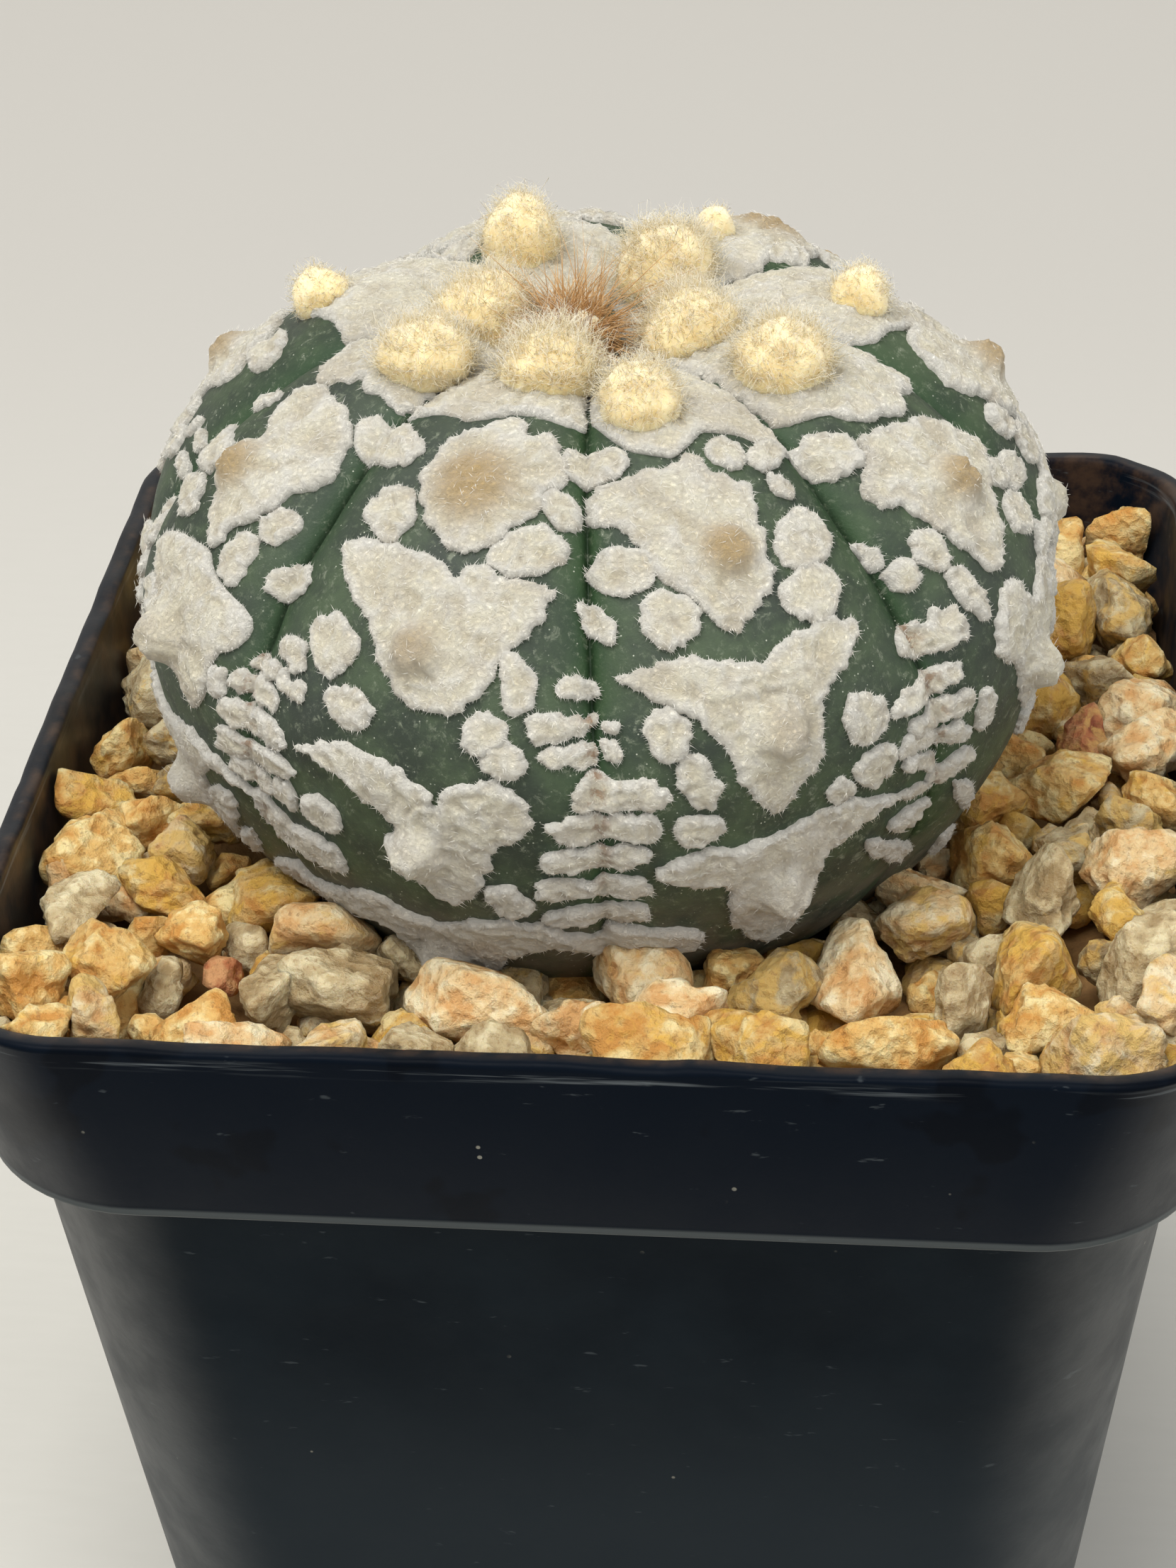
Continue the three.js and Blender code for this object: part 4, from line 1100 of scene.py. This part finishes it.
def make_stones(random):
    """The gravel's stones by kind."""
    kinds = list(STONE_KINDS)
    heaps = {kind: [] for kind in kinds}

    def add(x, y, z, size, flatness, turns, subdivisions):
        points, faces, relief = stone_shape(size, flatness, turns, subdivisions, random)
        half = float(inner_half(np.array(z))) - size * 0.42
        middle = np.array([np.clip(x, -half, half), np.clip(y, -half, half), z])
        kind = kinds[random.choice(len(kinds), p=list(STONE_KINDS.values()))]
        values = {"tone": np.full(len(points), random.uniform()), "relief": relief}
        heaps[kind].append((inside_pot(points + middle), faces, values))

    placed = stone_draws()
    for stone in placed:
        x, y, size, draws = stone["x"], stone["y"], stone["size"], stone["draws"]
        flatness = [low + STONE_FLATNESS_SPREAD * draw for low, draw in zip(STONE_FLATNESS, draws)]
        turns = [2 * math.pi * draw for draw in draws[14:]]
        add(x, y, gravel_height(x, y) + size * STONE_LIFT, size * STONE_SWELL, flatness, turns, 4)
    taken = np.array([(stone["x"], stone["y"], stone["size"]) for stone in placed])
    for _ in range(STONE_TRIES):
        x, y = random.uniform(-STONE_REACH, STONE_REACH, 2)
        size = random.uniform(*SMALL_STONE_SIZE)
        room = SMALL_STONE_SPACING * (taken[:, 2] + size) / 2
        crowded = np.any(np.hypot(taken[:, 0] - x, taken[:, 1] - y) < room)
        near_plant = math.hypot(x - PLANT_X, y) < STONE_PLANT_RADIUS - 1
        if not crowded and not near_plant and len(taken) < len(placed) + SMALL_STONES:
            taken = np.vstack([taken, (x, y, size)])
            flatness = random.uniform(0.7, 0.95, 2)
            turns = random.uniform(0, 2 * math.pi, 2)
            add(x, y, gravel_height(x, y) - SMALL_STONE_DROP, size, flatness, turns, 3)
    for _ in range(LOWER_STONES):
        x, y = random.uniform(-STONE_REACH, STONE_REACH, 2)
        size = random.uniform(*LOWER_STONE_SIZE)
        flatness = random.uniform(0.65, 0.95, 2)
        turns = random.uniform(0, 2 * math.pi, 2)
        add(x, y, gravel_height(x, y) - LOWER_STONE_DROP, size, flatness, turns, 3)
    return {kind: merged(stones) for kind, stones in heaps.items()}


# Pot

def rounded_square(half, corner, height):
    """Points round a square with rounded corners, with points along its sides too."""
    ring = []
    for quarter in range(4):
        middle = (quarter + 0.5) * math.pi / 2
        centre = np.sign([math.cos(middle), math.sin(middle)]) * (half - corner)
        angles = (quarter + np.linspace(0, 1, POT_CORNER_STEPS)) * math.pi / 2
        arc = centre + corner * np.stack([np.cos(angles), np.sin(angles)], axis=-1)
        turn = (quarter + 1) * math.pi / 2
        length = 2 * (half - corner)
        steps = np.linspace(0, 1, POT_SIDE_STEPS + 1)[1:-1, None]
        along = np.array([-math.sin(turn), math.cos(turn)])
        ring += [arc, arc[-1] + steps * length * along]
    flat = np.vstack(ring)
    return np.column_stack([flat, np.full(len(flat), height)])


def rounded_profile(corners, radii):
    """An open profile of [half, corner radius, height] rows, with its bends rounded off."""
    rows = np.array(corners, float)
    profile = [rows[0]]
    for index in range(1, len(rows) - 1):
        before, here, after = rows[index - 1], rows[index], rows[index + 1]
        radius = radii[index]
        enter = here + (before - here) * min(0.45, radius / np.linalg.norm((before - here)[[0, 2]]))
        leave = here + (after - here) * min(0.45, radius / np.linalg.norm((after - here)[[0, 2]]))
        for t in np.linspace(0, 1, 5):
            profile.append((1 - t) ** 2 * enter + 2 * t * (1 - t) * here + t ** 2 * leave)
    profile.append(rows[-1])
    dense = [profile[0]]
    for row in profile[1:]:
        length = np.linalg.norm((row - dense[-1])[[0, 2]])
        count = max(1, int(length / POT_WALL_STEP))
        start = dense[-1]
        dense += [start + (row - start) * step / count for step in range(1, count + 1)]
    return np.array(dense)


def make_pot():
    """The pot's shell from the recess under its floor, round the outside, to the floor inside."""
    recess_half = FOOT_HALF - FOOT_WIDTH
    floor_half = SHOULDER_HALF - WALL_SLOPE * (BAND_BOTTOM - FLOOR_TOP) - WALL
    corners = [
        (recess_half - 3, WALL_CORNER - FOOT_WIDTH, FOOT_RECESS),
        (recess_half, WALL_CORNER - FOOT_WIDTH, FOOT_RECESS),
        (recess_half, WALL_CORNER - FOOT_WIDTH, 0),
        (FOOT_HALF, WALL_CORNER, 0),
        (SHOULDER_HALF, WALL_CORNER, BAND_BOTTOM),
        (BAND_HALF + BEAD, BAND_CORNER, BAND_BOTTOM),
        (BAND_HALF + BEAD, BAND_CORNER, BAND_BOTTOM + BEAD_HEIGHT),
        (RIM_HALF, RIM_CORNER, POT_HEIGHT),
        (RIM_HALF - RIM_LIP, RIM_CORNER - RIM_LIP, POT_HEIGHT),
        (BAND_HALF - WALL, BAND_CORNER - WALL, BAND_BOTTOM + WALL),
        (SHOULDER_HALF - WALL, WALL_CORNER - WALL, BAND_BOTTOM),
        (floor_half, WALL_CORNER - WALL, FLOOR_TOP),
        (floor_half - 3, WALL_CORNER - WALL - 3, FLOOR_TOP),
    ]
    radii = [0, 0.4, 0.4, FOOT_CHAMFER, 0.4, 0.3, 0.3, 0.5, 0.5, 0.6, 0.6, 0.6, 0]
    profile = rounded_profile(corners, radii)
    rings = [rounded_square(*row) for row in profile]
    size = len(rings[0])
    points = np.vstack(rings)
    near_rim = np.clip((points[:, 2] - POT_HEIGHT + RIM_WEAR_HEIGHT) / RIM_WEAR_HEIGHT, 0, 1)
    wave = sum(high * lattice_noise(points / long, seed) for long, high, seed in RIM_WAVES)
    nick = -RIM_NICK_DEPTH * np.clip(lattice_noise(points / RIM_NICK_SIZE, 62) - 0.35, 0, 1)
    points[:, 2] += near_rim * (wave + nick - RIM_WEAR)
    points = np.vstack([points, [(0, 0, FOOT_RECESS)], [(0, 0, FLOOR_TOP)]])
    inside = np.repeat(np.arange(len(rings)) > np.argmax(profile[:, 2]), size)
    values = {"inside": np.concatenate([inside, [0, 1]]).astype(float)}
    return points, loft_faces(len(rings), size)[:, ::-1], values


def drill_drains(pot):
    """Cuts the drain holes through the pot's floor."""
    shape = bmesh.new()
    for column, row in product((-1, 0, 1), repeat=2):
        place = Matrix.Translation(Vector((column * DRAIN_PITCH, row * DRAIN_PITCH, FLOOR_TOP)) * MM)
        bmesh.ops.create_cone(
            shape, cap_ends=True, segments=DRAIN_SIDES, radius1=DRAIN_RADIUS * MM,
            radius2=DRAIN_RADIUS * MM, depth=DRAIN_CUT * MM, matrix=place,
        )
    mesh = bpy.data.meshes.new("drains")
    shape.to_mesh(mesh)
    shape.free()
    cutter = bpy.data.objects.new("drains", mesh)
    bpy.context.scene.collection.objects.link(cutter)
    cut = pot.modifiers.new("drains", "BOOLEAN")
    cut.object = cutter
    cut.solver = "EXACT"
    bpy.context.view_layer.update()
    shown = pot.evaluated_get(bpy.context.evaluated_depsgraph_get())
    drilled = bpy.data.meshes.new_from_object(shown)
    pot.modifiers.clear()
    pot.data = drilled
    bpy.data.objects.remove(cutter)


def make_bed():
    """The dark bed under the stones, as a slab with a rough top."""
    columns = np.linspace(-1, 1, BED_STEPS)
    x, y = np.meshgrid(columns, columns)
    half = float(inner_half(np.array(GRAVEL_LEVEL - BED_DROP)))
    flat = np.column_stack([x.ravel() * half, y.ravel() * half])
    z = gravel_height(flat[:, 0], flat[:, 1]) - BED_DROP
    z += BED_RELIEF * fractal_noise(np.column_stack([flat, z]) / BED_RELIEF_SIZE, 3, 70)
    top = inside_pot(np.column_stack([flat, z]))
    bottom = top.copy()
    bottom[:, 2] = BED_BOTTOM
    side = len(columns)
    index = np.arange(side * side).reshape(side, side)
    a, b = index[:-1, :-1].ravel(), index[:-1, 1:].ravel()
    c, d = index[1:, 1:].ravel(), index[1:, :-1].ravel()
    upper = np.vstack([np.stack([a, b, c], -1), np.stack([a, c, d], -1)])
    border = np.concatenate([index[0, :-1], index[:-1, -1], index[-1, :0:-1], index[:0:-1, 0]])
    lower = side * side
    faces = np.vstack([upper, upper[:, ::-1] + lower, wall_faces(border, lower)])
    return np.vstack([top, bottom]), faces, {}


# Materials

def srgb(red, green, blue):
    """A colour as seen, from 0 to 255, as linear light."""
    return tuple(
        c / 12.92 if c <= 0.04045 else ((c + 0.055) / 1.055) ** 2.4
        for c in (red / 255, green / 255, blue / 255)
    )


class Shader:
    """A node material around one Principled shader, whose colour is laid on in coats."""

    def __init__(self, name):
        self.material = bpy.data.materials.new(name)
        self.material.use_nodes = True
        self.tree = self.material.node_tree
        self.surface = self.tree.nodes["Principled BSDF"]
        self.place = self.tree.nodes.new("ShaderNodeTexCoord").outputs["Object"]

    def feed(self, socket, value):
        """Links a socket to another one, or sets its number or colour."""
        if isinstance(value, bpy.types.NodeSocket):
            self.tree.links.new(value, socket)
        elif socket.type == "RGBA":
            socket.default_value = (*value, 1)
        else:
            socket.default_value = value

    def node(self, kind, inputs, **settings):
        made = self.tree.nodes.new(kind)
        for name, value in settings.items():
            setattr(made, name, value)
        for socket, value in inputs.items():
            self.feed(made.inputs[socket], value)
        return made

    def noise(self, size, detail=3, roughness=0.55, distortion=0, place=None):
        """Noise with features of a size in millimetres."""
        inputs = {
            "Vector": place or self.place, "Scale": 1 / (size * MM), "Detail": detail,
            "Roughness": roughness, "Distortion": distortion,
        }
        return self.node("ShaderNodeTexNoise", inputs).outputs["Fac"]

    def cells(self, size):
        """Distance to the nearest of random points, whose spacing is in millimetres."""
        inputs = {"Vector": self.place, "Scale": 1 / (size * MM)}
        return self.node("ShaderNodeTexVoronoi", inputs).outputs["Distance"]

    def stretched(self, scale):
        """Object coordinates, scaled by axis."""
        inputs = {"Vector": self.place, "Scale": scale}
        return self.node("ShaderNodeMapping", inputs).outputs["Vector"]

    def attribute(self, name):
        return self.node("ShaderNodeAttribute", {}, attribute_name=name).outputs["Fac"]

    def facing(self):
        """0 where the surface faces the eye and 1 where it is seen edge on."""
        return self.node("ShaderNodeLayerWeight", {"Blend": 0.5}).outputs["Facing"]

    def along(self, axis):
        return self.node("ShaderNodeSeparateXYZ", {"Vector": self.place}).outputs[axis]

    def between(self, value, low, high, start=0, end=1):
        """Value's place from low to high, as a number from start to end."""
        inputs = {"Value": value, "From Min": low, "From Max": high, "To Min": start, "To Max": end}
        made = self.node("ShaderNodeMapRange", inputs, interpolation_type="SMOOTHSTEP")
        return made.outputs["Result"]

    def level(self, low, high, start=0, end=1):
        """The height's place from low to high in metres, as a number from start to end."""
        return self.between(self.along("Z"), low, high, start, end)

    def maths(self, operation, a, b):
        return self.node("ShaderNodeMath", {0: a, 1: b}, operation=operation).outputs["Value"]

    def both(self, a, b):
        return self.maths("MULTIPLY", a, b)

    def mix(self, share, first, second, blend="MIX"):
        inputs = {0: share, 6: first, 7: second}
        return self.node("ShaderNodeMix", inputs, data_type="RGBA", blend_type=blend).outputs[2]

    def ground(self, share, first, second):
        """Starts the colour as a change from one to another."""
        self.colour = self.mix(share, srgb(*first), srgb(*second))

    def coat(self, share, colour):
        """Covers the colour so far with another one where share is 1."""
        self.colour = self.mix(share, self.colour, srgb(*colour))

    def bump(self, height, depth, strength=1, **under):
        """Bumps whose height from 0 to 1 is a depth in millimetres."""
        inputs = {"Height": height, "Distance": depth * MM, "Strength": strength, **under}
        return self.node("ShaderNodeBump", inputs).outputs["Normal"]

    def finish(self, **sockets):
        """Joins the colour and the other values to the surface."""
        for name, value in {"Base_Color": self.colour, **sockets}.items():
            self.feed(self.surface.inputs[name.replace("_", " ")], value)
        return self.material


def skin_material():
    """Dull green skin with dust and pale specks, and painted shade that makes it darkest down in its
    furrows.
    """
    shader = Shader("green_skin")
    shader.ground(shader.between(shader.noise(4, 5, 0.65), 0.35, 0.65), (46, 55, 44), (66, 80, 57))
    shader.coat(shader.between(shader.noise(11, 3), 0.5, 0.66, 0, 0.6), (54, 60, 54))
    # Painted shade: the skin is painted darker green in the furrows, darkest along the crease
    shader.coat(shader.attribute("furrow"), (32, 64, 28))
    shader.coat(shader.between(shader.attribute("furrow"), 0.62, 0.95, 0, 0.8), (16, 36, 12))
    corky = shader.both(shader.level(0.081, 0.071), shader.between(shader.noise(3, 3), 0.3, 0.6))
    shader.coat(corky, (98, 92, 78))
    shader.coat(shader.between(shader.noise(0.45, 4, 0.75), 0.52, 0.7, 0, 0.3), (112, 122, 98))
    shader.coat(shader.between(shader.noise(0.9, 5, 0.75, 0.6), 0.56, 0.7, 0, 0.5), (140, 146, 126))
    specks = shader.between(shader.cells(0.42), 0.16, 0.06)
    specks = shader.both(specks, shader.between(shader.noise(1.6, 2), 0.46, 0.6))
    shader.coat(specks, (176, 180, 162))
    normal = shader.bump(shader.noise(0.2, 4, 0.65), 0.05, 0.8)
    return shader.finish(Roughness=0.6, Normal=normal, Specular_IOR_Level=0.35)


def felt_material(name="white_felt", hairy=False):
    """White felt, creamier away from its edges, with tan areoles that turn grey with age, and painted
    shade in its creases, hollows and fibres and low on the plant.
    """
    shader = Shader(name)
    shader.colour = srgb(250, 246, 234)
    fuzz = {}
    if not hairy:
        inside = shader.between(shader.attribute("depth"), 0.1, 0.9, 0.2, 1)
        patchy = shader.between(shader.noise(1.7, 4, 0.6), 0.3, 0.62, 0.2, 1)
        shader.coat(shader.both(inside, patchy), (249, 242, 216))
        crown = shader.level(0.104, 0.113, 0, 0.5)
        crown = shader.both(crown, shader.between(shader.noise(3, 3), 0.35, 0.6))
        shader.coat(crown, (242, 227, 180))
        # Painted shade in the felt's hollows
        shader.coat(shader.both(shader.attribute("hollow_shade"), 0.3), (234, 218, 174))
        # Painted shade in the folds and pleats, and the bars' real seam line
        shader.coat(shader.both(shader.attribute("crease"), 0.5), (196, 180, 148))
        grey = shader.both(shader.attribute("areole"), shader.level(0.086, 0.094))
        shader.coat(grey, (204, 189, 160))
        young = shader.level(0.094, 0.1, 0, 0.95)
        shader.coat(shader.both(shader.attribute("areole"), young), (202, 170, 110))
        corky = shader.between(shader.noise(1.1, 4, 0.65), 0.5, 0.62, 0, 0.85)
        shader.coat(shader.both(shader.attribute("scar"), corky), (160, 116, 70))
        fibres = shader.noise(0.32, 6, 0.75, 0.6)
        # Painted shade between the fibres: the low parts of the fibre bumps are painted darker
        shader.coat(shader.between(fibres, 0.36, 0.5, 0.2, 0), (178, 166, 140))
        fuzz["Normal"] = shader.bump(fibres, 0.55)
    # Painted shade: the felt and its hairs are painted greyer low on the plant
    shader.coat(shader.level(0.088, 0.073, 0, 0.7), (212, 204, 188))
    return shader.finish(
        Roughness=0.95, Sheen_Weight=0.35, Sheen_Roughness=0.5, Specular_IOR_Level=0.12, **fuzz,
    )


def wool_material(name="cream_wool", hairy=False):
    """Cream wool that lets light through, with painted light that makes it paler at the top of a tuft
    and at the tip of a hair.
    """
    shader = Shader(name)
    fuzz = {}
    if hairy:
        # Painted light: each hair is painted paler towards its tip
        shader.ground(shader.attribute("tip"), (247, 225, 166), (253, 243, 204))
    else:
        clouds = shader.between(shader.noise(1.3, 4, 0.6), 0.35, 0.7)
        shader.ground(clouds, (230, 208, 152), (242, 227, 182))
        # Painted light: the core is painted paler towards the top of the tuft
        shader.coat(shader.between(shader.attribute("tip"), 0.05, 0.3, 0, 0.5), (250, 240, 206))
        fuzz = {"Normal": shader.bump(shader.noise(0.25, 5, 0.7), 0.12, 0.8), "Sheen_Weight": 0.4}
    return shader.finish(
        Roughness=0.9, Specular_IOR_Level=0.05, Subsurface_Weight=0.7,
        Subsurface_Radius=(1, 0.85, 0.6), Subsurface_Scale=0.0007, **fuzz,
    )


def bud_material():
    """Tan hairs, browner in their middle and pale at the tip."""
    shader = Shader("brown_bud_hairs")
    brown = shader.between(shader.noise(2.4, 2), 0.32, 0.5, 0.7, 1)
    middle = shader.between(shader.attribute("tip"), 0, 0.3)
    shader.ground(shader.both(middle, brown), (228, 200, 150), (190, 148, 98))
    shader.coat(shader.between(shader.attribute("tip"), 0.6, 1, 0, 0.5), (216, 186, 140))
    return shader.finish(Roughness=0.6, Specular_IOR_Level=0.25)


# Each kind of stone: the colour of its hollows (painted shade), body, ridges (painted highlight) and
# crust, the crust's share, its roughness and how much light it lets in
STONE_LOOKS = {
    "gold": ((216, 156, 76), (234, 193, 118), (254, 233, 172), (240, 192, 84), 0.13, 0.48, 0.2),
    "cream": ((226, 176, 114), (241, 211, 158), (254, 239, 200), (244, 206, 118), 0.12, 0.48, 0.2),
    "quartz": ((168, 145, 104), (200, 182, 142), (230, 218, 180), (232, 194, 108), 0.11, 0.24, 0.4),
    "rust": ((150, 76, 44), (196, 122, 76), (224, 168, 116), (230, 184, 110), 0.08, 0.6, 0.1),
}


def stone_material(kind):
    """Stone with painted shade in its hollows and painted highlights on its ridges, and patches of a
    coloured crust.
    """
    shaded_hollows, body, lit_ridges, crust, crust_share, roughness, glow = STONE_LOOKS[kind]
    shader = Shader(f"{kind}_stone")
    tone = shader.attribute("tone")
    grain = shader.between(shader.noise(1.7, 5, 0.6), 0.25, 0.75, -0.4, 0.4)
    relief = shader.maths("ADD", shader.attribute("relief"), grain)
    # Painted shade in the hollows and painted highlights on the ridges, from the stone's relief
    shader.ground(shader.between(relief, -0.35, 0.05), shaded_hollows, body)
    shader.coat(shader.between(relief, 0.02, 0.4), lit_ridges)
    edge = shader.between(tone, 0, 1, 0.5 - crust_share, 0.8 - crust_share)
    patch = shader.maths("SUBTRACT", shader.noise(2.2, 4, 0.6, 0.8), edge)
    patch = shader.between(patch, 0, 0.16, 0, 0.85)
    shader.coat(patch, crust)
    shade = shader.mix(tone, (0.72, 0.69, 0.64), (1, 0.98, 0.95))
    shader.colour = shader.mix(1, shader.colour, shade, "MULTIPLY")
    shader.coat(shader.between(shader.noise(0.5, 4, 0.7), 0.44, 0.32, 0, 0.5), (140, 100, 56))
    pitted = shader.maths("ADD", shader.noise(0.5, 5, 0.7), shader.cells(0.8))
    return shader.finish(
        Roughness=shader.between(patch, 0, 1, roughness, 0.7), Normal=shader.bump(pitted, 0.5),
        Subsurface_Weight=glow, Subsurface_Radius=(1, 0.7, 0.4), Subsurface_Scale=0.0008,
    )


def earth_material(name, sizes, dark, light, roughness, depth):
    """Crumbly ground of two colours, with the sizes of its patches and of its crumbs."""
    shader = Shader(name)
    (patch, patch_detail), (crumb, crumb_detail) = sizes
    shader.ground(shader.noise(patch, patch_detail), dark, light)
    normal = shader.bump(shader.noise(crumb, crumb_detail), depth)
    return shader.finish(Roughness=roughness, Normal=normal)


def pot_material():
    """Black moulded plastic, a rim band with painted shade and a painted highlight along its lower
    edge, painted light lower down the wall, a worn lip, dust inside and a few specks.
    """
    shader = Shader("black_moulded_plastic")
    clouds = shader.between(shader.noise(16, 4, 0.6), 0.3, 0.7)
    shader.ground(clouds, (13, 19, 24), (20, 27, 32))
    # Painted light: the wall is painted lighter towards the bottom
    shader.coat(shader.level(0.052, 0.03), (33, 39, 43))
    band = shader.level(0.0612, 0.0625)
    # Painted shade: the rim band is painted darker than the wall, in darker blotches here and there
    shader.coat(band, (5, 12, 21))
    band_blotches = shader.between(shader.noise(9, 3, 0.5), 0.56, 0.6, 0, 0.7)
    shader.coat(shader.both(band, band_blotches), (1, 4, 10))
    # Painted highlight: a thin pale line along the band's lower edge
    shader.coat(shader.both(shader.level(0.0611, 0.0613), shader.level(0.0621, 0.0618)), (66, 70, 70))
    dust = shader.between(shader.noise(3, 5, 0.65), 0.4, 0.7)
    shader.coat(shader.both(shader.attribute("inside"), dust), (58, 44, 34))
    specks = shader.between(shader.cells(2.6), 0.07, 0.045)
    shader.coat(shader.both(specks, shader.between(shader.noise(7, 2), 0.57, 0.64)), (116, 114, 104))
    marks = shader.noise(1.1, 3, 0.6, place=shader.stretched((0.45, 0.45, 1.6)))
    shader.coat(shader.between(marks, 0.68, 0.75, 0, 0.3), (84, 90, 92))
    streak = shader.noise(3, 3, 0.6, place=shader.stretched((0.25, 0.25, 6)))
    scuff = shader.both(shader.between(streak, 0.5, 0.68, 0, 0.5), shader.level(0.0732, 0.0738))
    shader.coat(shader.both(scuff, shader.level(0.0745, 0.0739)), (112, 118, 120))
    facing = shader.facing()
    wall_gloss = shader.between(facing, 0.38, 0.68, 0.05, 0.7)
    band_gloss = shader.between(facing, 0.18, 0.55, 0.06, 0.7)
    normal = shader.bump(shader.noise(0.5, 4, 0.6), 0.03, 0.5)
    return shader.finish(
        Roughness=shader.between(shader.noise(5, 4), 0.3, 0.7, 0.4, 0.56),
        Normal=shader.bump(clouds, 0.15, 0.4, Normal=normal),
        Specular_IOR_Level=shader.between(band, 0, 1, wall_gloss, band_gloss), IOR=1.4,
    )


def floor_material():
    """Pale woven backdrop paper, with painted shade that makes it a little darker towards its far
    end.
    """
    shader = Shader("pale_floor")
    weave = shader.noise(1.2, 3, place=shader.stretched((0.2, 1, 1)))
    shader.ground(weave, (192, 190, 182), (197, 195, 187))
    # Painted shade: the far, upright end of the backdrop is painted darker
    shader.coat(shader.between(shader.along("Y"), 0.02, 0.25), (181, 178, 171))
    return shader.finish(Roughness=0.9, Specular_IOR_Level=0.1)


# Floor, lights and camera

def make_floor():
    """A pale floor that curves up into a backdrop."""
    profile = [(-FLOOR_HALF, 0.0), (FLOOR_BEND, 0.0)]
    for step in range(1, FLOOR_STEPS + 1):
        angle = math.pi / 2 * step / FLOOR_STEPS
        rise = FLOOR_CURVE * (1 - math.cos(angle))
        profile.append((FLOOR_BEND + FLOOR_CURVE * math.sin(angle), rise))
    profile.append((FLOOR_BEND + FLOOR_CURVE, FLOOR_HALF))
    points = [(x, y, z) for y, z in profile for x in (-FLOOR_HALF, FLOOR_HALF)]
    faces = [(2 * i, 2 * i + 1, 2 * i + 3, 2 * i + 2) for i in range(len(profile) - 1)]
    mesh = bpy.data.meshes.new("floor")
    mesh.from_pydata(points, [], faces)
    mesh.shade_smooth()
    mesh.materials.append(floor_material())
    floor = bpy.data.objects.new("floor", mesh)
    bpy.context.scene.collection.objects.link(floor)


def make_lamp(name, at, size, power, colour):
    """A round soft light that shines on the plant."""
    light = bpy.data.lights.new(name, "AREA")
    light.shape = "DISK"
    light.size = size
    light.energy = power
    light.color = colour
    lamp = bpy.data.objects.new(name, light)
    lamp.location = at
    lamp.rotation_mode = "QUATERNION"
    lamp.rotation_quaternion = (Vector(PLANT_MIDDLE) - Vector(at)).to_track_quat("-Z", "Y")
    bpy.context.scene.collection.objects.link(lamp)


def make_world():
    """Even light from all round."""
    world = bpy.data.worlds.new("soft_room")
    world.use_nodes = True
    background = world.node_tree.nodes["Background"]
    background.inputs["Color"].default_value = ROOM_COLOUR
    background.inputs["Strength"].default_value = ROOM_STRENGTH
    bpy.context.scene.world = world
    bpy.context.scene.view_settings.view_transform = "Standard"


def make_camera():
    data = bpy.data.cameras.new("camera")
    data.sensor_width = SENSOR_WIDTH
    data.lens = CAMERA_FOCAL_PX * SENSOR_WIDTH / PHOTO_HEIGHT_PX
    data.clip_start = CLIP_START
    camera = bpy.data.objects.new("camera", data)
    camera.location = CAMERA_AT * MM
    look = (CAMERA_TARGET - CAMERA_AT).to_track_quat("-Z", "Y")
    camera.rotation_mode = "QUATERNION"
    camera.rotation_quaternion = look @ Matrix.Rotation(CAMERA_ROLL, 3, "Z").to_quaternion()
    bpy.context.scene.collection.objects.link(camera)
    bpy.context.scene.camera = camera


# The object's pieces
random = np.random.default_rng(PIECE_SEED)
BALLS = {subdivisions: ball(subdivisions) for subdivisions in (3, 4)}

make_piece("green_body", make_skin(), skin_material(), "cactus")
felt_look = felt_material()
felt_hair_look = felt_material("felt_hairs", hairy=True)
felt_looks = [felt_look, felt_look, felt_hair_look, felt_hair_look]
felt_names = ["felt_pads", "felt_dots", "pad_hairs", "dot_hairs"]
for name, part, look in zip(felt_names, make_felt(random), felt_looks):
    make_piece(name, part, look, "cactus")
cores, tuft_hairs = zip(*[wool_tuft(*tuft, random) for tuft in TUFTS])
wool_look = wool_material()
make_piece("wool_cores", merged(cores), wool_look, "cactus")
wool_hair_look = wool_material("wool_hairs", hairy=True)
make_piece("wool_hairs", merged(tuft_hairs), wool_hair_look, "cactus")
bud_cone, bud_brush = make_bud(random)
make_piece("bud_cone", bud_cone, wool_look, "flower_bud")
make_piece("bud_brush", bud_brush, bud_material(), "flower_bud")

for kind, stones in make_stones(random).items():
    make_piece(f"gravel_{kind}", stones, stone_material(kind), "gravel")
bed_look = earth_material("gravel_bed", ((1.6, 4), (0.8, 4)), (96, 68, 38), (176, 134, 80), 0.95, 0.4)
make_piece("gravel_bed", make_bed(), bed_look, "gravel")

pot = make_piece("pot_shell", make_pot(), pot_material(), "pot")
drill_drains(pot)
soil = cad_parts["soil"]
soil.data.materials.clear()
soil.data.materials.append(
    earth_material("dark_soil", ((2, 5), (1, 5)), (36, 26, 18), (78, 58, 40), 1.0, 0.5)
)

make_floor()
for lamp in LAMPS:
    make_lamp(*lamp)
make_world()
make_camera()
